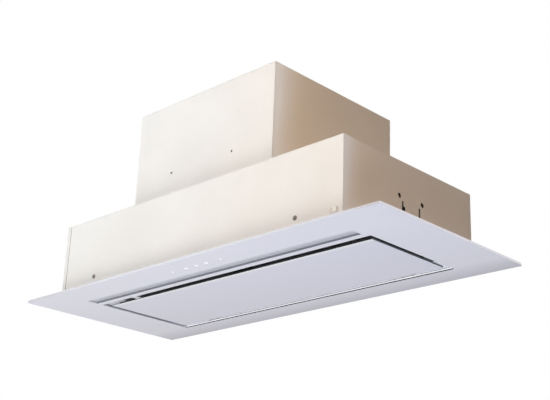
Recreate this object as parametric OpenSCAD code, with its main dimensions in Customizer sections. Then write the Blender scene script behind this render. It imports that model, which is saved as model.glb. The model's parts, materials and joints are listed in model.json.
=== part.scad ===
// Built-in range hood: glass fascia with a perimeter suction panel, a lower
// casing, and a tower that holds the blower. Millimetres. The origin is the
// middle of the underside of the glass, +Z up, and the front is at -Y.

/* [Fascia] */
// Width of the glass fascia
fascia_w = 900; // [860:1:1000]
// Depth of the glass fascia
fascia_d = 382; // [372:1:420]
// Thickness of the fascia glass
glass_t = 4; // [3:0.5:6]
// Corner radius of the fascia glass
fascia_corner_r = 4; // [1:0.5:10]
// Thickness of the steel frame behind the glass
frame_t = 1; // [0.8:0.1:1.5]
// Reach of the frame past the casing at each end
frame_reach_x = 36; // [10:1:60]
// Reach of the frame past the casing at front and back
frame_reach_y = 8; // [3:0.5:15]
// Height of the frame's upstands inside the casing
upstand_h = 34; // [28:1:45]

/* [Opening] */
// Width of the suction opening
opening_w = 687; // [660:1:700]
// Depth of the suction opening
opening_d = 224; // [200:1:230]
// How far the opening's middle lies behind the fascia's middle
opening_y = 24; // [18:1:30]
// How far the opening's middle lies to the right of the fascia's middle
opening_x = 5; // [0:0.5:6]
// Height of the collar round the opening
collar_h = 17; // [15:0.5:22]
// Thickness of the collar wall
collar_t = 1.2; // [0.8:0.1:2]

/* [Panel] */
// Gap between the panel and the opening, at front and back
panel_gap = 16; // [14:0.5:24]
// Gap between the panel and the opening, at each end
panel_end_gap = 11; // [9:0.5:20]
// Thickness of the panel glass
panel_glass_t = 3; // [2:0.5:4]
// Height of the panel's face above the fascia's face
panel_lift = 0.4; // [0:0.1:1]
// Inset of the tray from the panel's edge
tray_inset = 35; // [25:1:50]
// Height of the tray's rim
tray_rim_h = 8; // [5:0.5:10]
// Distance of the hinge axis behind the panel
hinge_back = 7; // [6:0.5:8]
// Distance from the middle to each hinge
hinge_x = 250; // [200:1:290]
// Radius of the hinge pins
hinge_pin_r = 2; // [1.5:0.1:2.5]
// Place of the front catch along the panel
catch_x = -244; // [-290:1:-180]
// Width of the front catch
catch_w = 14; // [8:1:20]

/* [Light] */
// Length of the light slot
light_w = 680; // [600:1:690]
// Depth of the light slot
light_d = 22; // [16:1:24]
// How far the light's middle lies in front of the fascia's middle
light_y = 112; // [110:0.5:116]
// Overlap of the diffuser behind the glass
diffuser_lap = 2; // [1:0.5:3]
// Thickness of the diffuser
diffuser_t = 3; // [2:0.5:4]
// Height of the light channel above the frame
channel_h = 18; // [14:1:24]
// Wall of the light channel
channel_t = 1.5; // [1:0.1:2.5]
// Number of light chips
chip_count = 24; // [8:1:40]

/* [Touch keys] */
// Distance from key to key
key_pitch = 26; // [20:1:34]
// Extra distance to each outer key
key_outer_extra = 10; // [0:1:20]
// Place of the middle key to the right of the middle
key_x = 7; // [-20:1:20]
// How far the keys lie in front of the fascia's middle
key_y = 150; // [146:1:158]
// Diameter of a key mark
key_mark_d = 7; // [4:0.5:10]

/* [Casing] */
// Width of the lower casing
casing_w = 723; // [715:1:760]
// Depth of the lower casing
casing_d = 343; // [335:1:356]
// Height of the lower casing's top
casing_top_z = 144; // [130:1:170]
// Thickness of the sheet steel
sheet_t = 1; // [0.7:0.1:1.5]
// Distance of the front seam from the left end
seam_in = 10; // [6:0.5:20]
// Width of the open line at the seam
seam_gap = 0.8; // [0.3:0.1:1.5]
// Distance from the middle to each front screw
front_screw_x = 261.6; // [200:0.2:280]
// Height of the casing screws
casing_screw_z = 25; // [20:0.5:30]
// Radius of the screw shanks
screw_r = 1.9; // [1.5:0.1:2.2]
// Radius of the screw heads
screw_head_r = 4.2; // [3:0.1:4.5]
// Height of a screw head
screw_head_h = 1.8; // [1.2:0.1:3]

/* [Side fixings] */
// Distance between the two side holes
side_hole_pitch = 61; // [50:1:75]
// Radius of the side holes
side_hole_r = 4.5; // [3.5:0.05:5]
// Height of the side holes
side_hole_z = 82; // [70:1:95]
// Distance between the two side slots
side_slot_pitch = 44.8; // [38:0.2:48]
// Width of a side slot
side_slot_w = 3.6; // [2:0.1:5]
// Top of the side slots
side_slot_top_z = 74; // [66:1:76]
// Length of the side slots
side_slot_h = 16; // [12:1:26]
// Thickness of the nut plates
nut_plate_t = 2.5; // [2:0.1:4]

/* [Tower] */
// Width of the tower
tower_w = 364; // [350:1:400]
// Depth of the tower
tower_d = 320.5; // [300:0.5:330]
// Height of the tower's top
tower_top_z = 342; // [336:1:380]
// Height of the angle frame at the tower's foot
foot_frame_h = 18; // [12:1:25]
// Distance between the two holes in the tower's front
tower_hole_pitch = 161; // [120:1:200]
// Radius of the holes in the tower's front
tower_hole_r = 2.2; // [1:0.1:3]
// Height of the holes in the tower's front
tower_hole_z = 198; // [180:1:215]

/* [Outlet] */
// Outside radius of the outlet spigot
spigot_r = 75; // [70:0.5:77]
// Wall of the outlet spigot
spigot_t = 1.5; // [1.2:0.1:2]
// Height of the outlet spigot
spigot_h = 50; // [40:1:70]
// Width of the spigot's foot flange
spigot_flange_w = 14; // [10:1:20]
// Height of the flap axis above the tower
flap_axis_h = 14; // [10:0.5:16]
// Thickness of a flap
flap_t = 1.5; // [1:0.1:2]
// Radius of the flap pin
flap_pin_r = 1.5; // [1:0.1:2]

/* [Blower] */
// Distance of the blower axis in front of the middle
blower_y = 30; // [26:1:34]
// Height of the blower axis
blower_z = 222; // [218:1:228]
// Radius of the fan wheel
wheel_r = 75; // [68:1:76]
// Width of the fan wheel
wheel_w = 100; // [80:1:104]
// Number of blades in the fan wheel
blade_count = 36; // [20:1:44]
// Inside width of the scroll
scroll_in_w = 114; // [112:1:124]
// Radius of the scroll at its tongue
scroll_start_r = 84; // [82:1:88]
// Growth of the scroll's radius from tongue to outlet
scroll_growth = 40; // [30:1:42]
// Wall of the scroll
scroll_t = 2.5; // [2:0.1:3]
// Radius of the scroll's inlets
inlet_r = 64; // [58:1:66]
// Radius of the motor
motor_r = 44; // [36:1:46]
// Length of the motor
motor_len = 52; // [46:1:56]
// Radius of the motor shaft
shaft_r = 4; // [3:0.1:5]

/* [Filters] */
// Width of a filter cassette
filter_w = 318; // [300:1:322]
// Depth of a filter cassette
filter_d = 198; // [180:1:204]
// Thickness of a filter cassette
filter_t = 10; // [8:0.5:14]
// Width of a cassette's rim
filter_rim = 14; // [10:1:20]
// Thickness of the mesh pack
mesh_t = 5; // [3:0.5:7]
// Distance from mesh hole to mesh hole
mesh_pitch = 24; // [18:1:40]
// Width of a mesh bar
mesh_bar = 5; // [3:0.5:8]
// Travel of a filter latch
latch_travel = 6; // [4:0.5:8]

/* [Controls] */
// Length of the control box
control_w = 130; // [110:1:150]
// Depth of the control box
control_d = 90; // [70:1:110]
// Height of the control box
control_h = 42; // [36:1:50]
// Wall of the control box
control_t = 2; // [1.5:0.1:3]
// Radius of the cable inlet's bore
gland_bore_r = 5; // [3:0.5:6]

/* [Hidden] */
$fn = 48;

// Cut past a face, so that no skin is left
past = 1;
// Clearance between two pieces that slide or swing past each other
slide_clear = 0.3;
// Radial clearance of a pin or shaft in its bore
run_clear = 0.05;

// Ends of the cassettes, the opening and the casing. The cassettes pass through the opening,
// and the casing clears the plate that they rest on and its own nut plates.
filter_clear = 1;
filter_middle = 8;
filter_x = filter_w / 2 + filter_middle;
filter_end = filter_x + filter_w / 2;
support_lap = 8;
casing_side_clear = 1;
opening_end = max(opening_w / 2, filter_end + filter_clear + opening_x);
casing_end = max(casing_w / 2,
                 opening_end + support_lap + nut_plate_t + sheet_t + casing_side_clear);

// Fascia and frame
frame_top_z = glass_t + frame_t;
frame_w = 2 * (casing_end + frame_reach_x);
frame_d = casing_d + 2 * frame_reach_y;
opening_front = opening_y - opening_d / 2;
opening_back = opening_y + opening_d / 2;
collar_top_z = frame_top_z + collar_h;
upstand_in = 60;
upstand_half_w = casing_end - upstand_in;

// Light
diffuser_w = light_w + 2 * diffuser_lap;
diffuser_d = light_d + 2 * diffuser_lap;
channel_w = diffuser_w + 2 * channel_t + 2 * slide_clear;
channel_d = diffuser_d + 2 * channel_t + 2 * slide_clear;
channel_top_z = frame_top_z + channel_h;
light_board_t = 1.6;
light_board_in = 2;
light_board_w = light_w - 2 * light_board_in;
light_board_d = 14;
chip_size = 3;
chip_h = 1;

// Touch keys
key_places = [
    for (i = [-2:2]) key_x + i * key_pitch + sign(i) * max(abs(i) - 1, 0) * key_outer_extra
];
key_mark_t = 0.2;
key_dot_d = 4.2;
key_square_w = 2.4;
touch_board_t = 1.6;
touch_board_w = 5 * key_pitch + 4 * key_outer_extra;
touch_board_d = 24;
touch_board_gap = 3;
touch_foot_w = 8;

// Casing
casing_front = -casing_d / 2;
casing_back = casing_d / 2;
screw_len = 9;
screw_slot_w = 1;
seam_x = -casing_end + seam_in;
lap_w = 14;
rear_flange = 12;
clip_w = 14;
clip_h = 9;
clip_t = 1.2;
clip_in = 11;
clip_z = 16;
nut_plate_d = side_hole_pitch + 26;
nut_plate_h = 26;
nut_thread_h = 1.15;
nut_core_r = side_hole_r - nut_thread_h;
slot_foot_w = 8;
slot_foot_h = 7;

// Tower
tower_end = tower_w / 2;
tower_back = casing_back;
tower_front = tower_back - tower_d;
foot_flange_w = 16;

// Outlet
outlet_in_r = spigot_r - spigot_t;
flap_axis_z = tower_top_z + flap_axis_h;
flap_edge_clear = 1;
flap_rest_gap = 0.2;
flap_r = outlet_in_r - flap_edge_clear;
flap_knuckle_r = 3;
flap_knuckle_len = 30;
flap_knuckle_x = 46;
stop_ledge_w = 4;
stop_ledge_t = 2;

// Blower. The spiral runs from the tongue, over the front and the bottom, to the back.
tongue_angle = 75;
spiral_steps = 57;
spiral_sweep = 360 - tongue_angle;
scroll_end_r = scroll_start_r + scroll_growth;
outlet_back = -blower_y + scroll_end_r;
outlet_front = -blower_y + scroll_start_r * cos(tongue_angle);
outlet_y = (outlet_front + outlet_back) / 2;
scroll_half_w = scroll_in_w / 2 + scroll_t;
scroll_top_z = tower_top_z - sheet_t;
scroll_flange_w = 12;
scroll_flange_t = 3;
wheel_ring_w = 9;
wheel_ring_t = 3;
wheel_in_r = wheel_r - wheel_ring_w;
hub_r = 14;
hub_len = 14;
blade_t = 1.6;
blade_in = 1;
blade_turn = 35;
shaft_past_hub = 3;
motor_hub_gap = 4;
motor_start_x = hub_len / 2 + motor_hub_gap;
motor_end_x = motor_start_x + motor_len;
motor_boss_h = 4;
bracket_x = max(motor_end_x, scroll_half_w) + motor_boss_h;
bracket_t = 3;
bracket_ring_r = 24;
bracket_arm_w = 12;
arm_past_inlet = 14;
bracket_arm_r = inlet_r + arm_past_inlet;
bracket_arms = [30, 150, 270];
mount_r = 7;
bracket_screw_r = 2.5;
bracket_head_r = 4.6;
capacitor_r = 16;
capacitor_len = 62;
capacitor_lift = 70;
capacitor_z = casing_top_z + capacitor_lift;
capacitor_y = 105;
cap_clip_t = 2;
cap_clip_h = 12;
cap_clip_ear = 8;

// Filters
support_t = 1.5;
lip_t = 1.5;
lip_extra = 10;
support_w = 2 * (opening_end + support_lap);
support_d = opening_d + 2 * support_lap;
filter_low_z = collar_top_z;
filter_top_z = filter_low_z + filter_t;
filter_tongue_w = 30;
filter_tongue_l = 6;
filter_tongue_t = 2;
latch_w = 40;
latch_l = 20;
latch_t = 2;
guide_t = 1.5;
guide_in = 1;
guide_h = latch_t + 2 * slide_clear;
latch_past_lip = 2;
grip_w = 24;
grip_up = 2;
grip_slot_in = 2.5;
grip_slot_y = opening_y - filter_d / 2 + grip_slot_in;
grip_slot_l = latch_travel + latch_t + 2 * slide_clear;

// Panel
panel_w = 2 * (opening_end - panel_end_gap);
panel_d = opening_d - 2 * panel_gap;
panel_front = opening_y - panel_d / 2;
panel_back = opening_y + panel_d / 2;
panel_glass_top = panel_lift + panel_glass_t;
tray_t = 1;
hinge_places = [opening_x - hinge_x, opening_x + hinge_x];
hinge_y = panel_back + hinge_back;
hinge_lift = 3.2;
hinge_z = panel_glass_top + hinge_lift;
hinge_web = 1;
ear_r = 5;
ear_t = 3;
arm_t = 2.5;
arm_w = 18;
arm_in = 1;
hinge_plate_t = 2;
hinge_side_clear = 0.4;
catch_t = 1.2;
catch_drop = 1;
catch_z = panel_lift + (panel_glass_t - catch_t) / 2;

// Controls
control_side = 8;
control_x = -casing_end + sheet_t + control_side;
control_y = 20;
control_top_z = casing_top_z - sheet_t;
control_low_z = control_top_z - control_h;
lid_t = 2;
board_t = 1.6;
board_post = 4;
board_in = 3;
board_post_in = 4;
board_post_r = 2.5;
terminal_w = 40;
terminal_d = 16;
terminal_h = 14;
terminal_in_x = 10;
terminal_in_y = 8;
terminal_ways = 5;
terminal_screw_r = 2.2;
driver_w = 110;
driver_d = 36;
driver_h = 22;
driver_in = 12;
driver_x = control_x + driver_in;
driver_y = -120;
gland_flange_r = 13;
gland_flange_t = 3;
gland_body_r = 9;
gland_h = 16;
gland_in = 34;
gland_x = -tower_end + gland_in;
gland_y = 120;

// A plain box between two opposite corners
module block(low, high) {
    translate(low)
        cube(high - low);
}

// A flat plate, centred on x and y, from low to high in z
module centred_plate(w, d, low, high, y = 0, x = 0) {
    block([x - w / 2, y - d / 2, low], [x + w / 2, y + d / 2, high]);
}

// A cylinder along X
module rod_x(r, x0, x1, y, z) {
    translate([x0, y, z])
        rotate([0, 90, 0])
            cylinder(r = r, h = x1 - x0);
}

// A cylinder along Y
module rod_y(r, y0, y1, x, z) {
    translate([x, y1, z])
        rotate([90, 0, 0])
            cylinder(r = r, h = y1 - y0);
}

// A cylinder along Z
module rod_z(r, z0, z1, x = 0, y = 0) {
    translate([x, y, z0])
        cylinder(r = r, h = z1 - z0);
}

// A rectangle with rounded corners, made of bars and discs
module rounded_rectangle(w, d, r) {
    square([w - 2 * r, d], center = true);
    square([w, d - 2 * r], center = true);
    for (sx = [-1, 1])
        for (sy = [-1, 1])
            translate([sx * (w / 2 - r), sy * (d / 2 - r)])
                circle(r = r);
}

module suction_hole(low, high) {
    centred_plate(2 * opening_end, opening_d, low - past, high + past, opening_y, opening_x);
}

// Fascia

module fascia_glass() {
    color([0.93, 0.93, 0.96])
        difference() {
            linear_extrude(glass_t)
                rounded_rectangle(fascia_w, fascia_d, fascia_corner_r);
            suction_hole(0, glass_t);
            centred_plate(light_w, light_d, -past, glass_t + past, -light_y);
            key_marks(-past, key_mark_t);
        }
}

module upstand(side) {
    inner = side * (casing_d / 2 - sheet_t - frame_t);
    outer = side * (casing_d / 2 - sheet_t);
    difference() {
        block([-upstand_half_w, min(inner, outer), glass_t],
              [upstand_half_w, max(inner, outer), glass_t + upstand_h]);
        for (x = [-front_screw_x, front_screw_x])
            rod_y(screw_r, min(inner, outer) - past, max(inner, outer) + past, x, casing_screw_z);
    }
}

module fascia_frame() {
    color([0.80, 0.79, 0.77]) {
        difference() {
            centred_plate(frame_w, frame_d, glass_t, frame_top_z);
            suction_hole(glass_t, frame_top_z);
            centred_plate(diffuser_w + 2 * slide_clear, diffuser_d + 2 * slide_clear,
                          glass_t - past, frame_top_z + past, -light_y);
        }
        upstand(-1);
        upstand(1);
    }
}

module opening_collar() {
    color([0.90, 0.90, 0.92])
        difference() {
            centred_plate(2 * (opening_end + collar_t), opening_d + 2 * collar_t,
                          frame_top_z, collar_top_z, opening_y, opening_x);
            suction_hole(frame_top_z, collar_top_z);
        }
}

// The printed marks are inlaid in the underside of the glass: three long keys between two dots
module key_mark(i) {
    if (abs(i) == 2)
        circle(d = key_dot_d);
    else
        difference() {
            circle(d = key_mark_d);
            if (i == 0)
                circle(d = key_dot_d);
            else
                square([key_square_w, key_square_w], center = true);
        }
}

module key_marks(low, high) {
    for (i = [-2:2])
        translate([key_places[i + 2], -key_y, low])
            linear_extrude(high - low)
                key_mark(i);
}

module touch_symbols() {
    color("white")
        key_marks(0, key_mark_t);
}

module touch_board() {
    low = frame_top_z + touch_board_gap;
    foot_x = touch_board_w / 2 - touch_foot_w / 2;
    color([0.10, 0.35, 0.18])
        translate([key_x, -key_y, 0]) {
            centred_plate(touch_board_w, touch_board_d, low, low + touch_board_t);
            for (s = [-1, 1])
                translate([s * foot_x, 0, 0])
                    centred_plate(touch_foot_w, touch_board_d, frame_top_z, low);
        }
}

// Light

module light_diffuser() {
    color([1, 0.99, 0.95])
        centred_plate(diffuser_w, diffuser_d, glass_t, glass_t + diffuser_t, -light_y);
}

module light_channel() {
    inner_top = channel_top_z - channel_t;
    color([0.80, 0.81, 0.82])
        difference() {
            centred_plate(channel_w, channel_d, frame_top_z, channel_top_z, -light_y);
            centred_plate(channel_w - 2 * channel_t, channel_d - 2 * channel_t,
                          frame_top_z - past, inner_top, -light_y);
        }
}

module light_board() {
    top = channel_top_z - channel_t;
    color([0.95, 0.95, 0.93])
        centred_plate(light_board_w, light_board_d, top - light_board_t, top, -light_y);
}

module light_chips() {
    top = channel_top_z - channel_t - light_board_t;
    pitch = light_board_w / chip_count;
    color([1, 0.9, 0.55])
        for (i = [0:chip_count - 1])
            translate([-light_board_w / 2 + (i + 0.5) * pitch, 0, 0])
                centred_plate(chip_size, chip_size, top - chip_h, top, -light_y);
}

// Casing

module side_fixing_cuts(x0, x1) {
    low = side_slot_top_z - side_slot_h;
    for (s = [-1, 1]) {
        slot_y = s * side_slot_pitch / 2;
        rod_x(side_hole_r, x0, x1, s * side_hole_pitch / 2, side_hole_z);
        block([x0, slot_y - side_slot_w / 2, low],
              [x1, slot_y + side_slot_w / 2, side_slot_top_z]);
    }
    // The front slot turns backwards at its foot
    foot_y = -(side_slot_pitch + side_slot_w) / 2;
    block([x0, foot_y, low], [x1, foot_y + slot_foot_w, low + slot_foot_h]);
}

module front_screw_cuts(y0, y1) {
    for (x = [-front_screw_x, front_screw_x])
        rod_y(screw_r, y0, y1, x, casing_screw_z);
}

module casing_front_right() {
    top = casing_top_z - sheet_t;
    color([0.93, 0.91, 0.88])
        difference() {
            union() {
                block([seam_x + seam_gap, casing_front, frame_top_z],
                      [casing_end, casing_front + sheet_t, top]);
                block([casing_end - sheet_t, casing_front, frame_top_z],
                      [casing_end, casing_back, top]);
                block([casing_end - rear_flange, casing_back - sheet_t, frame_top_z],
                      [casing_end, casing_back, top]);
            }
            front_screw_cuts(casing_front - past, casing_front + sheet_t + past);
            side_fixing_cuts(casing_end - sheet_t - past, casing_end + past);
        }
}

module casing_left() {
    top = casing_top_z - sheet_t;
    color([0.93, 0.91, 0.88])
        difference() {
            union() {
                block([-casing_end, casing_front, frame_top_z],
                      [-casing_end + sheet_t, casing_back, top]);
                block([-casing_end, casing_front, frame_top_z],
                      [seam_x, casing_front + sheet_t, top]);
                // The lap behind the front sheet, joggled in by one sheet
                block([seam_x - sheet_t, casing_front + sheet_t, frame_top_z],
                      [seam_x + lap_w, casing_front + 2 * sheet_t, top]);
                block([-casing_end, casing_back - sheet_t, frame_top_z],
                      [-casing_end + rear_flange, casing_back, top]);
            }
            side_fixing_cuts(-casing_end - past, -casing_end + sheet_t + past);
        }
}

module casing_rear() {
    color([0.88, 0.86, 0.83])
        difference() {
            block([-casing_end + rear_flange, casing_back - sheet_t, frame_top_z],
                  [casing_end - rear_flange, casing_back, casing_top_z - sheet_t]);
            front_screw_cuts(casing_back - sheet_t - past, casing_back + past);
        }
}

module casing_top() {
    color([0.90, 0.88, 0.85])
        difference() {
            block([-casing_end, casing_front, casing_top_z - sheet_t],
                  [casing_end, casing_back, casing_top_z]);
            block([-tower_end + foot_flange_w, tower_front + foot_flange_w,
                   casing_top_z - sheet_t - past],
                  [tower_end - foot_flange_w, tower_back - foot_flange_w, casing_top_z + past]);
        }
}

// A pan-head screw that points along +Y, with its head at y0
module screw_y(x, y0, z) {
    difference() {
        rod_y(screw_head_r, y0 - screw_head_h, y0, x, z);
        block([x - screw_head_r, y0 - screw_head_h - past, z - screw_slot_w / 2],
              [x + screw_head_r, y0 - screw_head_h / 2, z + screw_slot_w / 2]);
    }
    rod_y(screw_r, y0, y0 + screw_len, x, z);
}

module casing_screws() {
    color([0.75, 0.75, 0.74])
        for (x = [-front_screw_x, front_screw_x]) {
            screw_y(x, casing_front, casing_screw_z);
            mirror([0, 1, 0])
                screw_y(x, -casing_back, casing_screw_z);
        }
}

module corner_clip() {
    color([0.94, 0.91, 0.82])
        block([casing_end - clip_in - clip_w, casing_front - clip_t, clip_z],
              [casing_end - clip_in, casing_front, clip_z + clip_h]);
}

module nut_plate(x0, x1) {
    difference() {
        block([x0, -nut_plate_d / 2, side_hole_z - nut_plate_h / 2],
              [x1, nut_plate_d / 2, side_hole_z + nut_plate_h / 2]);
        for (s = [-1, 1])
            rod_x(nut_core_r, x0 - past, x1 + past, s * side_hole_pitch / 2, side_hole_z);
    }
}

module nut_plate_left() {
    color([0.70, 0.70, 0.70])
        nut_plate(-casing_end + sheet_t, -casing_end + sheet_t + nut_plate_t);
}

module nut_plate_right() {
    color([0.70, 0.70, 0.70])
        nut_plate(casing_end - sheet_t - nut_plate_t, casing_end - sheet_t);
}

// Tower

module tower_front_sides() {
    top = tower_top_z - sheet_t;
    color([0.93, 0.91, 0.88])
        difference() {
            block([-tower_end, tower_front, casing_top_z], [tower_end, tower_back - sheet_t, top]);
            block([-tower_end + sheet_t, tower_front + sheet_t, casing_top_z - past],
                  [tower_end - sheet_t, tower_back + past, top + past]);
            for (s = [-1, 1])
                rod_y(tower_hole_r, tower_front - past, tower_front + sheet_t + past,
                      s * tower_hole_pitch / 2, tower_hole_z);
        }
}

module tower_rear() {
    color([0.88, 0.86, 0.83])
        block([-tower_end, tower_back - sheet_t, casing_top_z],
              [tower_end, tower_back, tower_top_z - sheet_t]);
}

module tower_top() {
    color([0.90, 0.88, 0.85])
        difference() {
            block([-tower_end, tower_front, tower_top_z - sheet_t],
                  [tower_end, tower_back, tower_top_z]);
            rod_z(outlet_in_r, tower_top_z - sheet_t - past, tower_top_z + past, 0, outlet_y);
            rod_z(gland_bore_r, tower_top_z - sheet_t - past, tower_top_z + past, gland_x, gland_y);
        }
}

// An angle frame that joins the tower to the lower casing
module tower_foot_frame() {
    w = tower_end - sheet_t;
    front = tower_front + sheet_t;
    back = tower_back - sheet_t;
    inner = foot_flange_w - sheet_t;
    color([0.82, 0.81, 0.79])
        difference() {
            block([-w, front, casing_top_z], [w, back, casing_top_z + foot_frame_h]);
            block([-w + sheet_t, front + sheet_t, casing_top_z + sheet_t],
                  [w - sheet_t, back - sheet_t, casing_top_z + foot_frame_h + past]);
            block([-w + inner, front + inner, casing_top_z - past],
                  [w - inner, back - inner, casing_top_z + foot_frame_h]);
        }
}

// Outlet

module outlet_spigot() {
    top = tower_top_z + spigot_h;
    ledge_top = flap_axis_z - flap_t / 2 - flap_rest_gap;
    color([0.16, 0.16, 0.17])
        difference() {
            union() {
                rod_z(spigot_r + spigot_flange_w, tower_top_z, tower_top_z + spigot_t, 0, outlet_y);
                rod_z(spigot_r, tower_top_z, top, 0, outlet_y);
            }
            rod_z(outlet_in_r, ledge_top, top + past, 0, outlet_y);
            rod_z(outlet_in_r, tower_top_z - past, ledge_top - stop_ledge_t, 0, outlet_y);
            rod_z(outlet_in_r - stop_ledge_w, tower_top_z - past, top, 0, outlet_y);
            rod_x(flap_pin_r, -spigot_r - past, spigot_r + past, outlet_y, flap_axis_z);
        }
}

module flap_pin() {
    color([0.75, 0.75, 0.76])
        rod_x(flap_pin_r, -outlet_in_r - spigot_t / 2, outlet_in_r + spigot_t / 2,
              outlet_y, flap_axis_z);
}

// Half a disc on one side of the pin, with two knuckles that turn on it. The disc starts
// past the other flap's knuckles, and a neck joins it to its own.
module flap(side, knuckle_x) {
    start = flap_knuckle_r + slide_clear;
    low = flap_axis_z - flap_t / 2;
    high = flap_axis_z + flap_t / 2;
    difference() {
        union() {
            intersection() {
                rod_z(flap_r, low, high, 0, outlet_y);
                block([-flap_r, outlet_y + (side > 0 ? start : -flap_r), low],
                      [flap_r, outlet_y + (side > 0 ? flap_r : -start), high]);
            }
            for (x = knuckle_x) {
                rod_x(flap_knuckle_r, x, x + flap_knuckle_len, outlet_y, flap_axis_z);
                block([x, outlet_y - (side > 0 ? 0 : start + past), low],
                      [x + flap_knuckle_len, outlet_y + (side > 0 ? start + past : 0), high]);
            }
        }
        rod_x(flap_pin_r + run_clear, -flap_r - past, flap_r + past, outlet_y, flap_axis_z);
    }
}

module flap_front() {
    color([0.22, 0.22, 0.24])
        flap(-1, [-flap_knuckle_x - flap_knuckle_len / 2, slide_clear]);
}

module flap_rear() {
    color([0.28, 0.28, 0.30])
        flap(1, [flap_knuckle_x - flap_knuckle_len / 2, -flap_knuckle_len - slide_clear]);
}

// Blower

function spiral_r(i) = scroll_start_r + scroll_growth * i / spiral_steps;
function spiral_angle(i) = tongue_angle + spiral_sweep * i / spiral_steps;

// The scroll's outline in Y and Z round the blower axis, grown by extra, with the outlet on top
module scroll_outline(extra) {
    top = scroll_top_z - blower_z;
    polygon(concat(
        [[scroll_start_r * cos(tongue_angle) - extra, top]],
        [for (i = [0:spiral_steps])
            (spiral_r(i) + extra) * [cos(spiral_angle(i)), sin(spiral_angle(i))]],
        [[scroll_end_r + extra, top]]
    ));
}

// Places a Y-Z outline between x0 and x1 on the blower axis
module on_blower_axis(x0, x1) {
    translate([x0, -blower_y, blower_z])
        rotate([90, 0, 90])
            linear_extrude(x1 - x0)
                children();
}

module scroll_half(side) {
    x0 = side < 0 ? -scroll_half_w : 0;
    x1 = side < 0 ? 0 : scroll_half_w;
    flange_back = outlet_back + scroll_t + scroll_flange_w;
    flange_front = outlet_front - scroll_t - scroll_flange_w;
    difference() {
        union() {
            on_blower_axis(x0, x1)
                scroll_outline(scroll_t);
            block([x0, flange_front, scroll_top_z - scroll_flange_t],
                  [x1, flange_back, scroll_top_z]);
        }
        on_blower_axis(side < 0 ? -scroll_in_w / 2 : -past, side < 0 ? past : scroll_in_w / 2)
            scroll_outline(0);
        block([side < 0 ? -scroll_in_w / 2 : -past, outlet_front, scroll_top_z - scroll_growth],
              [side < 0 ? past : scroll_in_w / 2, outlet_back, scroll_top_z + past]);
        rod_x(inlet_r, x0 - past, x1 + past, -blower_y, blower_z);
    }
}

module scroll_left() {
    color([0.20, 0.20, 0.22])
        scroll_half(-1);
}

module scroll_right() {
    color([0.24, 0.24, 0.26])
        scroll_half(1);
}

module wheel_ring(x) {
    difference() {
        rod_x(wheel_r, x - wheel_ring_t / 2, x + wheel_ring_t / 2, -blower_y, blower_z);
        rod_x(wheel_in_r, x - wheel_ring_t, x + wheel_ring_t, -blower_y, blower_z);
    }
}

// A ring of blades between two end rings, with a third ring round the disc
module fan_wheel() {
    end_x = (wheel_w - wheel_ring_t) / 2;
    blade_l = wheel_ring_w - 2 * blade_in;
    color([0.55, 0.58, 0.62]) {
        for (x = [-end_x, 0, end_x])
            wheel_ring(x);
        for (i = [0:blade_count - 1])
            translate([0, -blower_y, blower_z])
                rotate([i * 360 / blade_count, 0, 0])
                    translate([0, wheel_r - wheel_ring_w / 2, 0])
                        rotate([blade_turn, 0, 0])
                            cube([2 * end_x, blade_l, blade_t], center = true);
    }
}

// The disc and hub in the middle of the wheel
module fan_disc() {
    color([0.50, 0.53, 0.57])
        difference() {
            union() {
                rod_x(wheel_in_r, -wheel_ring_t / 2, wheel_ring_t / 2, -blower_y, blower_z);
                rod_x(hub_r, -hub_len / 2, hub_len / 2, -blower_y, blower_z);
            }
            rod_x(shaft_r, -hub_len, hub_len, -blower_y, blower_z);
        }
}

module motor_shaft() {
    color([0.70, 0.71, 0.73])
        rod_x(shaft_r, -hub_len / 2 - shaft_past_hub, motor_start_x + motor_len / 2, -blower_y, blower_z);
}

module motor() {
    color([0.62, 0.63, 0.65])
        difference() {
            union() {
                rod_x(motor_r, motor_start_x, motor_end_x, -blower_y, blower_z);
                rod_x(bracket_ring_r, motor_end_x, bracket_x, -blower_y, blower_z);
            }
            rod_x(shaft_r + run_clear, motor_start_x - past, motor_start_x + motor_len / 2 + past,
                  -blower_y, blower_z);
        }
}

// Three arms that carry the motor in the right inlet
module motor_bracket() {
    color([0.72, 0.72, 0.72])
        difference() {
            union() {
                rod_x(bracket_ring_r, bracket_x, bracket_x + bracket_t, -blower_y, blower_z);
                for (a = bracket_arms)
                    translate([bracket_x, -blower_y, blower_z])
                        rotate([a, 0, 0])
                            block([0, 0, -bracket_arm_w / 2],
                                  [bracket_t, bracket_arm_r + mount_r, bracket_arm_w / 2]);
            }
            for (a = bracket_arms)
                translate([bracket_x, -blower_y, blower_z])
                    rotate([a, 0, 0])
                        rod_x(bracket_screw_r, -past, bracket_t + past, bracket_arm_r, 0);
        }
}

module motor_mounts() {
    color([0.12, 0.12, 0.12])
        for (a = bracket_arms)
            translate([0, -blower_y, blower_z])
                rotate([a, 0, 0])
                    difference() {
                        rod_x(mount_r, scroll_half_w, bracket_x, bracket_arm_r, 0);
                        rod_x(bracket_screw_r, scroll_half_w - past, bracket_x + past,
                              bracket_arm_r, 0);
                    }
}

module bracket_screws() {
    color([0.75, 0.75, 0.74])
        for (a = bracket_arms)
            translate([0, -blower_y, blower_z])
                rotate([a, 0, 0]) {
                    rod_x(bracket_screw_r, scroll_half_w, bracket_x + bracket_t, bracket_arm_r, 0);
                    rod_x(bracket_head_r, bracket_x + bracket_t,
                          bracket_x + bracket_t + screw_head_h, bracket_arm_r, 0);
                }
}

module capacitor() {
    x = tower_end - sheet_t - cap_clip_t - capacitor_r;
    color([0.85, 0.85, 0.88])
        rod_z(capacitor_r, capacitor_z, capacitor_z + capacitor_len, x, capacitor_y);
}

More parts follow.
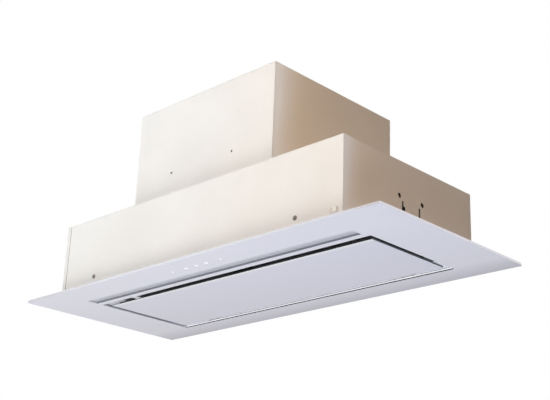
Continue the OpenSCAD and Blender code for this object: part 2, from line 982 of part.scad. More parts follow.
// A strap ring on the tower's side wall
module capacitor_clip() {
    x = tower_end - sheet_t - cap_clip_t - capacitor_r;
    low = capacitor_z + capacitor_len / 3;
    color([0.15, 0.15, 0.16])
        difference() {
            union() {
                rod_z(capacitor_r + cap_clip_t, low, low + cap_clip_h, x, capacitor_y);
                block([tower_end - sheet_t - cap_clip_t, capacitor_y - capacitor_r - cap_clip_ear, low],
                      [tower_end - sheet_t, capacitor_y + capacitor_r + cap_clip_ear,
                       low + cap_clip_h]);
            }
            rod_z(capacitor_r, low - past, low + cap_clip_h + past, x, capacitor_y);
        }
}

// Filters

module filter_support() {
    window_front = opening_y - filter_d / 2 - filter_clear;
    lip_w = latch_w + 2 * lip_extra;
    color([0.13, 0.13, 0.14]) {
        difference() {
            centred_plate(support_w, support_d, filter_low_z, filter_low_z + support_t, opening_y);
            for (s = [-1, 1])
                translate([s * filter_x, 0, 0])
                    centred_plate(filter_w + 2 * filter_clear, filter_d + 2 * filter_clear,
                                  filter_low_z - past, filter_low_z + support_t + past, opening_y);
        }
        // The lips that the latches reach over
        for (s = [-1, 1])
            translate([s * filter_x, 0, 0])
                block([-lip_w / 2, window_front - lip_t, filter_low_z],
                      [lip_w / 2, window_front, filter_top_z]);
    }
}

// A shallow rim with a slot for the latch's grip, and two tongues that rest on the support
module filter_frame(x) {
    tongue_y = opening_y + filter_d / 2;
    shelf = filter_low_z + support_t;
    translate([x, 0, 0]) {
        difference() {
            centred_plate(filter_w, filter_d, filter_low_z, filter_top_z, opening_y);
            centred_plate(filter_w - 2 * filter_rim, filter_d - 2 * filter_rim,
                          filter_low_z - past, filter_top_z + past, opening_y);
            block([-grip_w / 2 - slide_clear, grip_slot_y, filter_low_z - past],
                  [grip_w / 2 + slide_clear, grip_slot_y + grip_slot_l, filter_top_z + past]);
        }
        for (s = [-1, 1])
            block([s * filter_w / 3 - filter_tongue_w / 2, tongue_y - past, shelf],
                  [s * filter_w / 3 + filter_tongue_w / 2, tongue_y + filter_tongue_l,
                   shelf + filter_tongue_t]);
    }
}

module filter_frame_left() {
    color([0.30, 0.30, 0.32])
        filter_frame(-filter_x);
}

module filter_frame_right() {
    color([0.30, 0.30, 0.32])
        filter_frame(filter_x);
}

// A sheet of evenly spaced square holes inside the rim
module filter_mesh(x) {
    w = filter_w - 2 * filter_rim;
    d = filter_d - 2 * filter_rim;
    nx = floor((w - mesh_bar) / mesh_pitch);
    ny = floor((d - mesh_bar) / mesh_pitch);
    hole = mesh_pitch - mesh_bar;
    low = filter_low_z + (filter_t - mesh_t) / 2;
    translate([x, opening_y, 0])
        difference() {
            centred_plate(w, d, low, low + mesh_t);
            for (i = [0:nx - 1])
                for (j = [0:ny - 1])
                    translate([(i - (nx - 1) / 2) * mesh_pitch, (j - (ny - 1) / 2) * mesh_pitch, 0])
                        centred_plate(hole, hole, low - past, low + mesh_t + past);
        }
}

module filter_mesh_left() {
    color([0.55, 0.56, 0.58])
        filter_mesh(-filter_x);
}

module filter_mesh_right() {
    color([0.55, 0.56, 0.58])
        filter_mesh(filter_x);
}

// A bridge on top of the rim's front, in which the latch slides
module latch_guide(x) {
    y0 = opening_y - filter_d / 2;
    low = filter_top_z;
    high = filter_top_z + guide_h + guide_t;
    translate([x, 0, 0])
        difference() {
            block([-latch_w / 2 - slide_clear - guide_t, y0 + guide_in, low],
                  [latch_w / 2 + slide_clear + guide_t, y0 + filter_rim - guide_in, high]);
            block([-latch_w / 2 - slide_clear, y0 - past, low - past],
                  [latch_w / 2 + slide_clear, y0 + filter_rim + past, low + guide_h]);
        }
}

module latch_guide_left() {
    color([0.18, 0.18, 0.19])
        latch_guide(-filter_x);
}

module latch_guide_right() {
    color([0.18, 0.18, 0.19])
        latch_guide(filter_x);
}

// A sliding bolt over the lip, with a finger grip that hangs down through the rim
module filter_latch(x) {
    y0 = opening_y - filter_d / 2 - filter_clear - lip_t - latch_past_lip;
    low = filter_top_z + slide_clear;
    translate([x, 0, 0]) {
        block([-latch_w / 2, y0, low], [latch_w / 2, y0 + latch_l, low + latch_t]);
        block([-grip_w / 2, grip_slot_y + slide_clear, filter_low_z + grip_up],
              [grip_w / 2, grip_slot_y + slide_clear + latch_t, low]);
    }
}

module filter_latch_left() {
    color([0.75, 0.20, 0.15])
        filter_latch(-filter_x);
}

module filter_latch_right() {
    color([0.75, 0.20, 0.15])
        filter_latch(filter_x);
}

// Panel

module panel_glass() {
    color([0.90, 0.90, 0.94])
        centred_plate(panel_w, panel_d, panel_lift, panel_glass_top, opening_y, opening_x);
}

// A shallow tray glued to the glass
module panel_tray() {
    w = panel_w - 2 * tray_inset;
    d = panel_d - 2 * tray_inset;
    color([0.12, 0.12, 0.13])
        difference() {
            centred_plate(w, d, panel_glass_top, panel_glass_top + tray_rim_h, opening_y, opening_x);
            centred_plate(w - 2 * tray_t, d - 2 * tray_t, panel_glass_top + tray_t,
                          panel_glass_top + tray_rim_h + past, opening_y, opening_x);
        }
}

// The arms are glued to the glass behind the tray and turn on the pins
module panel_hinge_arms() {
    color([0.80, 0.81, 0.82])
        for (x = hinge_places)
            difference() {
                union() {
                    block([x - arm_w / 2, panel_back - tray_inset, panel_glass_top],
                          [x + arm_w / 2, panel_back - arm_in, panel_glass_top + arm_t]);
                    block([x - arm_w / 2, panel_back - arm_in - arm_t, hinge_z - arm_t / 2],
                          [x + arm_w / 2, hinge_y, hinge_z + arm_t / 2]);
                    rod_x(ear_r, x - arm_w / 2, x + arm_w / 2, hinge_y, hinge_z);
                }
                rod_x(hinge_pin_r + run_clear, x - arm_w, x + arm_w, hinge_y, hinge_z);
            }
}

// Two ears on a plate, on the inside of the collar
module hinge_brackets() {
    reach = arm_w / 2 + hinge_side_clear;
    color([0.78, 0.78, 0.80])
        for (x = hinge_places)
            difference() {
                union() {
                    block([x - reach - ear_t, opening_back - hinge_plate_t, hinge_z - hinge_web],
                          [x + reach + ear_t, opening_back, collar_top_z]);
                    for (e = [-1, 1]) {
                        x0 = x + e * (reach + ear_t / 2) - ear_t / 2;
                        rod_x(ear_r, x0, x0 + ear_t, hinge_y, hinge_z);
                        block([x0, hinge_y, hinge_z - hinge_web],
                              [x0 + ear_t, opening_back, hinge_z + ear_r]);
                    }
                }
                rod_x(hinge_pin_r, x - reach - ear_t - past, x + reach + ear_t + past,
                      hinge_y, hinge_z);
            }
}

module hinge_pins() {
    reach = arm_w / 2 + hinge_side_clear + ear_t;
    color([0.72, 0.72, 0.74])
        for (x = hinge_places)
            rod_x(hinge_pin_r, x - reach, x + reach, hinge_y, hinge_z);
}

// A spring leaf on the collar's front wall that crosses the gap to the panel's front edge
module panel_catch() {
    color([0.88, 0.88, 0.90]) {
        block([catch_x - catch_w / 2, opening_front, catch_z],
              [catch_x + catch_w / 2, opening_front + catch_t, collar_top_z - catch_drop]);
        block([catch_x - catch_w / 2, opening_front, catch_z],
              [catch_x + catch_w / 2, panel_front - slide_clear, catch_z + catch_t]);
    }
}

// Controls

module control_box() {
    x1 = control_x + control_w;
    y0 = control_y;
    y1 = control_y + control_d;
    color([0.85, 0.85, 0.83])
        difference() {
            block([control_x, y0, control_low_z], [x1, y1, control_top_z]);
            block([control_x + control_t, y0 + control_t, control_low_z - past],
                  [x1 - control_t, y1 - control_t, control_top_z - control_t]);
        }
}

module control_lid() {
    color([0.80, 0.80, 0.78])
        block([control_x, control_y, control_low_z - lid_t],
              [control_x + control_w, control_y + control_d, control_low_z]);
}

module control_board() {
    x0 = control_x + control_t + board_in;
    x1 = control_x + control_w - control_t - board_in;
    y0 = control_y + control_t + board_in;
    y1 = control_y + control_d - control_t - board_in;
    top = control_top_z - control_t;
    color([0.10, 0.35, 0.18]) {
        block([x0, y0, top - board_post - board_t], [x1, y1, top - board_post]);
        for (x = [x0 + board_post_in, x1 - board_post_in])
            for (y = [y0 + board_post_in, y1 - board_post_in])
                rod_z(board_post_r, top - board_post, top, x, y);
    }
}

module terminal_block() {
    top = control_top_z - control_t - board_post - board_t;
    x0 = control_x + control_w - control_t - terminal_in_x - terminal_w;
    y0 = control_y + control_t + terminal_in_y;
    color([0.92, 0.92, 0.90])
        difference() {
            block([x0, y0, top - terminal_h], [x0 + terminal_w, y0 + terminal_d, top]);
            for (i = [0:terminal_ways - 1])
                rod_z(terminal_screw_r, top - terminal_h - past, top - terminal_h / 2,
                      x0 + (i + 0.5) * terminal_w / terminal_ways, y0 + terminal_d / 2);
        }
}

module light_driver() {
    color([0.93, 0.93, 0.92])
        block([driver_x, driver_y, control_top_z - driver_h],
              [driver_x + driver_w, driver_y + driver_d, control_top_z]);
}

// The inlet on the tower's top that the supply cable passes through
module cable_inlet() {
    color([0.10, 0.10, 0.11])
        difference() {
            union() {
                rod_z(gland_flange_r, tower_top_z, tower_top_z + gland_flange_t, gland_x, gland_y);
                rod_z(gland_body_r, tower_top_z, tower_top_z + gland_h, gland_x, gland_y);
            }
            rod_z(gland_bore_r, tower_top_z - past, tower_top_z + gland_h + past, gland_x, gland_y);
        }
}

fascia_glass();
fascia_frame();
opening_collar();
touch_symbols();
touch_board();
light_diffuser();
light_channel();
light_board();
light_chips();
casing_front_right();
casing_left();
casing_rear();
casing_top();
casing_screws();
corner_clip();
nut_plate_left();
nut_plate_right();
tower_front_sides();
tower_rear();
tower_top();
tower_foot_frame();
outlet_spigot();
flap_pin();
flap_front();
flap_rear();
scroll_left();
scroll_right();
fan_wheel();
fan_disc();
motor_shaft();
motor();
motor_bracket();
motor_mounts();
bracket_screws();
capacitor();
capacitor_clip();
filter_support();
filter_frame_left();
filter_frame_right();
filter_mesh_left();
filter_mesh_right();
latch_guide_left();
latch_guide_right();
filter_latch_left();
filter_latch_right();
panel_glass();
panel_tray();
panel_hinge_arms();
hinge_brackets();
hinge_pins();
panel_catch();
control_box();
control_lid();
control_board();
terminal_block();
light_driver();
cable_inlet();
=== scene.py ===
"""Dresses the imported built-in range hood: finishes for every sheet, glass and moulding,
and the small modelled details. Metres, Z up, the front with the touch keys at -Y."""
import json
import math

import bpy
from mathutils import Matrix, Vector


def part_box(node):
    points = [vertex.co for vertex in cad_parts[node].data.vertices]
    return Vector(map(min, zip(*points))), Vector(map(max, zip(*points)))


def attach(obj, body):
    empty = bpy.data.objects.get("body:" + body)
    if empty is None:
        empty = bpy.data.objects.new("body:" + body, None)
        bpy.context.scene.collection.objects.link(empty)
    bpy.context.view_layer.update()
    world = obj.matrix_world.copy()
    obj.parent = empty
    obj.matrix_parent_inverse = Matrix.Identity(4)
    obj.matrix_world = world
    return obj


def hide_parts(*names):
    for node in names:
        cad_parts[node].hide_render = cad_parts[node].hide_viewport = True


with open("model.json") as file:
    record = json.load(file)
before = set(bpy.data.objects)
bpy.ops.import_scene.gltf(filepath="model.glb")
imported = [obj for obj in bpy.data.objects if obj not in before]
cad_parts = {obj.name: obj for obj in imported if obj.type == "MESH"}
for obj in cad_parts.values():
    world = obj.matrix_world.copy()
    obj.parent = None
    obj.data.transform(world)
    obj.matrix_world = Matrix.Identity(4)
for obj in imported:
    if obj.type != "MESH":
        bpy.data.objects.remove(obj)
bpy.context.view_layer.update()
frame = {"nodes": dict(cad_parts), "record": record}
nodes = frame["nodes"]

MM = 0.001


# Places read from the frame

def corners(node):
    """A node's lowest and highest corners at rest."""
    low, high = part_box(node)
    return Vector(low), Vector(high)


GLASS_HIGH = corners("fascia_glass")[1]
CASING_LOW, CASING_HIGH = corners("casing_front_right")
TOWER_LOW, TOWER_HIGH = corners("tower_front_sides")
REAR_HIGH = corners("casing_rear")[1]
TOP_HIGH = corners("casing_top")[1]
CAP_HIGH = corners("tower_top")[1]
SPIGOT_LOW, SPIGOT_HIGH = corners("outlet_spigot")
INLET_LOW, INLET_HIGH = corners("cable_inlet")
CLIP_LOW, CLIP_HIGH = corners("corner_clip")
DIFFUSER_LOW, DIFFUSER_HIGH = corners("light_diffuser")
PANEL_LOW = corners("panel_glass")[0]


# Shader building blocks

def node_group(name, inputs, outputs):
    """An empty shader group. inputs are (label, value) pairs, where a vector's value is None, and
    outputs are the labels of its masks and values."""
    group = bpy.data.node_groups.new(name, "ShaderNodeTree")
    for label, value in inputs:
        kind = "NodeSocketVector" if value is None else "NodeSocketFloat"
        socket = group.interface.new_socket(label, in_out="INPUT", socket_type=kind)
        if value is not None:
            socket.default_value = value
    for label in outputs:
        group.interface.new_socket(label, in_out="OUTPUT", socket_type="NodeSocketFloat")
    given = group.nodes.new("NodeGroupInput").outputs
    results = group.nodes.new("NodeGroupOutput").inputs
    return group, given, results


def feed(tree, socket, value):
    """Sets a socket to a number, a vector or a colour, or links it to another node's socket."""
    if isinstance(value, (int, float, tuple)):
        socket.default_value = value
    else:
        tree.links.new(value, socket)


def add(tree, kind, **settings):
    """Adds a node, sets its properties, and feeds its inputs by name, with _ for a space."""
    made = tree.nodes.new(kind)
    for key, value in settings.items():
        if hasattr(made, key):
            setattr(made, key, value)
        else:
            feed(tree, made.inputs[key.replace("_", " ")], value)
    return made


def use_group(tree, group, **inputs):
    """Places a shared effect in a material, with the material's own inputs."""
    return add(tree, "ShaderNodeGroup", node_tree=group, **inputs)


def axes(tree, vector):
    """The X, Y and Z of a place or a direction."""
    return add(tree, "ShaderNodeSeparateXYZ", Vector=vector).outputs


def noise(tree, vector, scale, detail=2.0, roughness=0.5):
    """Cloudy noise about 0.5 at a place."""
    made = add(tree, "ShaderNodeTexNoise", Vector=vector, Scale=scale, Detail=detail,
               Roughness=roughness)
    return made.outputs["Fac"]


def spread(tree, source, from_low, from_high, to_low=0.0, to_high=1.0):
    """Maps a value from one range to another, clamped."""
    made = add(tree, "ShaderNodeMapRange", clamp=True, Value=source, From_Min=from_low,
               From_Max=from_high, To_Min=to_low, To_Max=to_high)
    return made.outputs["Result"]


def maths(tree, operation, first, second=0.0):
    """The result of one operation on two values or sockets."""
    made = add(tree, "ShaderNodeMath", operation=operation)
    for socket, value in zip(made.inputs, (first, second)):
        feed(tree, socket, value)
    return made.outputs[0]


def over(tree, value, limit):
    """One where the value is over the limit."""
    return maths(tree, "GREATER_THAN", value, limit)


def under(tree, value, limit):
    """One where the value is under the limit."""
    return maths(tree, "LESS_THAN", value, limit)


def all_of(tree, first, *others):
    """A mask of the places that every mask covers."""
    for other in others:
        first = maths(tree, "MULTIPLY", first, other)
    return first


def mix_colour(tree, factor, first, second):
    """The first colour where the factor is zero, and the second where it is one."""
    made = add(tree, "ShaderNodeMix", data_type="RGBA")
    for label, kind, value in (("Factor", "VALUE", factor), ("A", "RGBA", first),
                               ("B", "RGBA", second)):
        socket = next(s for s in made.inputs if s.name == label and s.type == kind)
        feed(tree, socket, value)
    return next(s for s in made.outputs if s.type == "RGBA")


# Past this share of its normal along an axis, a face looks that way
LOOKS_THAT_WAY = 0.5
# Most of a noise's values lie between these two
NOISE_LOW = 0.3
NOISE_HIGH = 0.7


def make_film_group():
    """Uneven handling film and fine dust: a colour mask, a roughness and a height."""
    group, given, results = node_group(
        "handling_film",
        [("Vector", None), ("Roughness", 0.4), ("Spread", 0.06), ("Cloud Scale", 9.0),
         ("Grain Scale", 900.0)],
        ["Mask", "Roughness", "Height"])
    clear, covered = 0.35, 0.7
    grain_share = 0.5
    mean_swing = 0.75
    cloud = noise(group, given["Vector"], given["Cloud Scale"], detail=4.0, roughness=0.6)
    grain = noise(group, given["Vector"], given["Grain Scale"])
    mask = spread(group, cloud, clear, covered)
    dusty = maths(group, "ADD", mask, maths(group, "MULTIPLY", grain, grain_share))
    swing = maths(group, "SUBTRACT", dusty, mean_swing)
    rough = maths(group, "ADD", given["Roughness"], maths(group, "MULTIPLY", swing, given["Spread"]))
    feed(group, results["Mask"], mask)
    feed(group, results["Roughness"], rough)
    feed(group, results["Height"], grain)
    return group


def make_edge_group():
    """A broken mask along the lines where two faces meet at a sharp edge."""
    group, given, results = node_group("edge_rub", [("Vector", None), ("Radius", 0.0012)], ["Mask"])
    sharp, flat = 0.8, 0.995
    break_scale = 160.0
    least_rub = 0.25
    rounded = add(group, "ShaderNodeBevel", samples=4, Radius=given["Radius"])
    true = add(group, "ShaderNodeNewGeometry")
    likeness = add(group, "ShaderNodeVectorMath", operation="DOT_PRODUCT")
    feed(group, likeness.inputs[0], rounded.outputs["Normal"])
    feed(group, likeness.inputs[1], true.outputs["Normal"])
    edge = spread(group, likeness.outputs["Value"], sharp, flat, 1.0, 0.0)
    breaks = noise(group, given["Vector"], break_scale, detail=3.0)
    broken = spread(group, breaks, NOISE_LOW, NOISE_HIGH, least_rub, 1.0)
    feed(group, results["Mask"], all_of(group, edge, broken))
    return group


def make_brush_group():
    """Long parallel brush lines along X: a mask and a height."""
    group, given, results = node_group(
        "brush_lines", [("Vector", None), ("Line Scale", 1400.0)], ["Mask", "Height"])
    stretch = (0.012, 1.0, 1.0)
    stretched = add(group, "ShaderNodeMapping", Vector=given["Vector"], Scale=stretch)
    lines = noise(group, stretched.outputs["Vector"], given["Line Scale"], detail=3.0, roughness=0.65)
    feed(group, results["Mask"], spread(group, lines, NOISE_LOW, NOISE_HIGH))
    feed(group, results["Height"], lines)
    return group


def make_spangle_group():
    """The crystal patches of zinc-coated sheet: a mask and a roughness."""
    group, given, results = node_group(
        "zinc_spangle", [("Vector", None), ("Size", 120.0)], ["Mask", "Roughness"])
    smoothest, roughest = 0.32, 0.5
    cells = add(group, "ShaderNodeTexVoronoi", Vector=given["Vector"], Scale=given["Size"])
    patch = add(group, "ShaderNodeSeparateColor", Color=cells.outputs["Color"])
    rough = spread(group, patch.outputs["Green"], 0.0, 1.0, smoothest, roughest)
    feed(group, results["Mask"], patch.outputs["Red"])
    feed(group, results["Roughness"], rough)
    return group


def make_bend_swell_group():
    """A folded sheet. Height is its side's gentle roll towards the front, in metres. The second mask
    covers the same strip, where a paler colour paints a highlight beside the fold, and the third
    covers the walls in the seam of the front's left half and in the side's holes, where a near-black
    colour paints the shade in these gaps."""
    group, given, results = node_group(
        "bend_swell_and_painted_light",
        [("Vector", None), ("Normal", None), ("Front", -0.1715), ("Reach", 0.030), ("Drop", 0.015),
         ("Face Depth", 0.0005), ("Seam Depth", 0.004), ("Holes Start", 0.02), ("Holes End", 0.3),
         ("Holes Low", 0.012), ("Holes High", 0.08)],
        ["Height", "Painted Highlight", "Cut"])
    upright_side = 0.7
    highlight_start, highlight_full = 0.2, 0.85
    facing = axes(group, given["Normal"])
    place = axes(group, given["Vector"])
    sideways = over(group, maths(group, "ABSOLUTE", facing["X"]), upright_side)
    before_front = maths(group, "SUBTRACT", given["Front"], place["Y"])
    roll = maths(group, "POWER", math.e, maths(group, "DIVIDE", before_front, given["Reach"]))
    drop = maths(group, "MULTIPLY", maths(group, "MULTIPLY", roll, given["Drop"]), -1.0)
    depth = maths(group, "SUBTRACT", place["Y"], given["Front"])
    behind = all_of(group, over(group, depth, given["Face Depth"]),
                    under(group, facing["Y"], -LOOKS_THAT_WAY))
    left_end = all_of(group, under(group, place["X"], 0.0), over(group, facing["X"], LOOKS_THAT_WAY))
    seam = all_of(group, maths(group, "MAXIMUM", behind, left_end),
                  under(group, depth, given["Seam Depth"]))
    hole_wall = all_of(group, over(group, depth, given["Holes Start"]),
                       under(group, depth, given["Holes End"]),
                       over(group, place["Z"], given["Holes Low"]),
                       under(group, place["Z"], given["Holes High"]),
                       maths(group, "SUBTRACT", 1.0, sideways))
    feed(group, results["Height"], all_of(group, drop, sideways))
    feed(group, results["Painted Highlight"], all_of(group, spread(group, roll, highlight_start, highlight_full), sideways))
    feed(group, results["Cut"], maths(group, "MAXIMUM", seam, hole_wall))
    return group


# The finishes paint light and shade on a sheet's cut edges through these masks, by the way each edge
# faces and where it lies.
def make_cut_edge_group():
    """Masks of a sheet's upright cut edges: all of them, the outer ones and the outer right one,
    those of its openings, the slot's, the openings' that face right or forwards, those right of a
    line, and the openings' lower arris, with its side and rear parts. It reads the surface's own
    direction and place, so it turns with the piece."""
    group, given, results = node_group(
        "cut_edge",
        [("Vector", None), ("Normal", None), ("Arris Top", 0.0013), ("Half Width", 0.44),
         ("Half Depth", 0.18), ("Slot Back", -0.095), ("Slot Arris", 0.0014),
         ("Rear Arris", 0.0006), ("Strip Start", -0.304)],
        ["Edge", "Outer Edge", "Outer Right Edge", "Inner Edge", "Slot Edge", "Rightward Edge",
         "Forward Edge", "Strip", "Arris", "Side Arris", "Rear Arris"])
    facing = axes(group, given["Normal"])
    place = axes(group, given["Vector"])
    upright = under(group, maths(group, "ABSOLUTE", facing["Z"]), LOOKS_THAT_WAY)
    inside = all_of(group, under(group, maths(group, "ABSOLUTE", place["X"]), given["Half Width"]),
                    under(group, maths(group, "ABSOLUTE", place["Y"]), given["Half Depth"]))
    inner = all_of(group, upright, inside)
    outer = maths(group, "SUBTRACT", upright, inner)
    in_slot = under(group, place["Y"], given["Slot Back"])
    faces_right = over(group, facing["X"], LOOKS_THAT_WAY)
    rightward = all_of(group, inner, faces_right)
    forward = all_of(group, inner, under(group, facing["Y"], -LOOKS_THAT_WAY))
    past_start = over(group, place["X"], given["Strip Start"])
    taller = maths(group, "ADD", maths(group, "MULTIPLY", in_slot, given["Slot Arris"]),
                   maths(group, "MULTIPLY", forward, given["Rear Arris"]))
    low = under(group, place["Z"], maths(group, "ADD", given["Arris Top"], taller))
    over_arris = maths(group, "SUBTRACT", 1.0, maths(group, "MAXIMUM", in_slot, low))
    rear_low = maths(group, "SUBTRACT", low, in_slot)
    for label, mask in (("Edge", upright), ("Outer Edge", outer),
                        ("Outer Right Edge", all_of(group, outer, faces_right)),
                        ("Inner Edge", inner), ("Slot Edge", all_of(group, inner, in_slot)),
                        ("Rightward Edge", rightward),
                        ("Forward Edge", all_of(group, forward, over_arris)),
                        ("Strip", all_of(group, upright, past_start)),
                        ("Arris", all_of(group, inner, low)),
                        ("Side Arris", all_of(group, rightward, low)),
                        ("Rear Arris", all_of(group, forward, rear_low))):
        feed(group, results[label], mask)
    return group


FILM = make_film_group()
EDGE = make_edge_group()
BRUSH = make_brush_group()
SPANGLE = make_spangle_group()
CUT_EDGE = make_cut_edge_group()
BEND_SWELL_AND_PAINTED_LIGHT = make_bend_swell_group()


def srgb(red, green, blue):
    """A colour given as it looks on screen, 0 to 255, as linear values."""
    def linear(value):
        share = value / 255
        return share / 12.92 if share <= 0.04045 else ((share + 0.055) / 1.055) ** 2.4
    return (linear(red), linear(green), linear(blue), 1.0)


def shade(colour, factor):
    """The colour made darker or lighter by a factor."""
    return tuple(min(1.0, part * factor) for part in colour[:3]) + (1.0,)


# The first colour paints a highlight: the paler band beside a sheet's front fold. The second paints
# shade: the near-black in the seam and in the side's holes.
FOLD_PAINTED_HIGHLIGHT = srgb(247, 249, 255)
SEAM_AND_HOLE_PAINTED_SHADE = srgb(16, 13, 11)
BLACK = (0.0, 0.0, 0.0, 1.0)
BRUSH_SHARE = 0.35
BRUSH_SHADE = 0.72
SPANGLE_SHARE = 0.5
SPANGLE_SHADE = 0.8
ROUND_SAMPLES = 6


def finish_material(name, colour, roughness, spread_by=0.06, metallic=0.0, cloud=0.04, cloud_scale=9.0,
                    grain_scale=900.0, grain_depth=0.00002, edge_colour=None, edge_radius=0.0012,
                    edge_share=0.5, coat=0.0, coat_roughness=0.1, pattern=None, emission=0.0,
                    round_radius=0.0, edge_colours_light_and_shade=(), fold=None, painted_ramp=None, painted_edge_glow=()):
    """A procedural finish: the colour drifts with the film, rubs at the edges, and has a grain.
    edge_colours_light_and_shade are (mask, colour) pairs that paint light and shade on the cut edges,
    by the way each edge faces and where it lies, and painted_edge_glow are such pairs for a painted
    glow along a glass sheet's edges, a painted highlight. painted_ramp is (start, end, colour):
    between two places from front to back the surface turns to that colour, which paints shade
    deepening towards the back, and on the panel the end of a painted highlight at its front. fold is
    the (front, reach, drop) of a sheet's roll towards its folded front edge; with it the surface also
    takes a painted highlight beside the fold and painted shade in the seam and the side's holes."""
    material = bpy.data.materials.new(name)
    material.use_nodes = True
    tree = material.node_tree
    surface = tree.nodes["Principled BSDF"]
    own_place = add(tree, "ShaderNodeTexCoord")
    place = own_place.outputs["Object"]
    facing = own_place.outputs["Normal"]
    film = use_group(tree, FILM, Vector=place, Roughness=roughness, Spread=spread_by,
                     Cloud_Scale=cloud_scale, Grain_Scale=grain_scale)
    result = mix_colour(tree, film.outputs["Mask"], shade(colour, 1 + cloud), shade(colour, 1 - cloud))
    height = film.outputs["Height"]
    rough = film.outputs["Roughness"]
    if pattern == "brushed":
        lines = use_group(tree, BRUSH, Vector=place)
        share = maths(tree, "MULTIPLY", lines.outputs["Mask"], BRUSH_SHARE)
        result = mix_colour(tree, share, result, shade(colour, BRUSH_SHADE))
        height = lines.outputs["Height"]
    if pattern == "zinc":
        spangle = use_group(tree, SPANGLE, Vector=place)
        share = maths(tree, "MULTIPLY", spangle.outputs["Mask"], SPANGLE_SHARE)
        result = mix_colour(tree, share, result, shade(colour, SPANGLE_SHADE))
        rough = spangle.outputs["Roughness"]
    if edge_colour is not None:
        edge = use_group(tree, EDGE, Vector=place, Radius=edge_radius)
        share = maths(tree, "MULTIPLY", edge.outputs["Mask"], edge_share)
        result = mix_colour(tree, share, result, edge_colour)
    # A ramp of colour from front to back, which paints shade deepening towards the back, and on the
    # panel the end of a painted highlight at its front.
    if painted_ramp is not None:
        ramp_start, ramp_end, ramp_colour = painted_ramp
        share = spread(tree, axes(tree, place)["Y"], ramp_start, ramp_end)
        result = mix_colour(tree, share, result, ramp_colour)
    # Painted light and shade on the cut edges, by the way each edge faces and where it lies.
    if edge_colours_light_and_shade:
        cut = use_group(tree, CUT_EDGE, Vector=place, Normal=facing)
        for mask, cut_colour in edge_colours_light_and_shade:
            result = mix_colour(tree, cut.outputs[mask], result, cut_colour)
    # A painted glow along the glass edges: a painted highlight, since the glass is no lamp.
    if painted_edge_glow:
        glow = BLACK
        for mask, glow_colour in painted_edge_glow:
            glow = mix_colour(tree, cut.outputs[mask], glow, glow_colour)
        feed(tree, surface.inputs["Emission Color"], glow)
        surface.inputs["Emission Strength"].default_value = 1.0
    if fold is not None:
        front, reach, drop = fold
        swell = use_group(tree, BEND_SWELL_AND_PAINTED_LIGHT, Vector=place, Normal=facing, Front=front, Reach=reach,
                          Drop=drop)
        # A painted highlight beside the fold, and painted shade in the seam and the side's holes.
        result = mix_colour(tree, swell.outputs["Painted Highlight"], result, FOLD_PAINTED_HIGHLIGHT)
        result = mix_colour(tree, swell.outputs["Cut"], result, SEAM_AND_HOLE_PAINTED_SHADE)
    feed(tree, surface.inputs["Base Color"], result)
    feed(tree, surface.inputs["Roughness"], rough)
    surface.inputs["Metallic"].default_value = metallic
    surface.inputs["Coat Weight"].default_value = coat
    surface.inputs["Coat Roughness"].default_value = coat_roughness
    bump = add(tree, "ShaderNodeBump", Height=height, Strength=1.0, Distance=grain_depth)
    if round_radius:
        rounded = add(tree, "ShaderNodeBevel", samples=ROUND_SAMPLES, Radius=round_radius)
        feed(tree, bump.inputs["Normal"], rounded.outputs["Normal"])
    normal = bump.outputs["Normal"]
    if fold is not None:
        rolled = add(tree, "ShaderNodeBump", Height=swell.outputs["Height"], Normal=normal,
                     Strength=1.0, Distance=1.0)
        normal = rolled.outputs["Normal"]
    feed(tree, surface.inputs["Normal"], normal)
    # Emission makes the surface glow in its own colour: the backlit keys, and the collar's painted
    # light.
    if emission:
        feed(tree, surface.inputs["Emission Color"], result)
        surface.inputs["Emission Strength"].default_value = emission
    return material


# The hood's finishes

CREAM = srgb(238, 229, 217)
STEEL_GREY = srgb(190, 190, 188)
CASING_ROLL_REACH = 30 * MM
CASING_ROLL_DROP = 15 * MM
TOWER_ROLL_REACH = 42 * MM
TOWER_ROLL_DROP = 46 * MM
# Where the painted shade of the fascia glass and of the diffuser begins towards the back, and where
# the panel's painted highlight along its front edge fades into its own colour.
GLASS_SHADE_START = 128 * MM
DIFFUSER_SHADE_START = DIFFUSER_LOW.y + 4 * MM
PANEL_HIGHLIGHT_START = PANEL_LOW.y + 4 * MM
PANEL_HIGHLIGHT_END = PANEL_LOW.y + 11 * MM


def enamelled_steel(name, front, reach, drop):
    """The cream enamel of the casing and the tower, rolled over at the fold of its front, with a
    painted highlight beside the fold and painted shade in the seam and the side's holes.
    """
    return finish_material(
        name, CREAM, roughness=0.42, cloud=0.02, grain_scale=1500.0, grain_depth=0.00003,
        edge_colour=srgb(247, 242, 236), coat=0.12, coat_roughness=0.35, round_radius=0.0012,
        fold=(front, reach, drop))


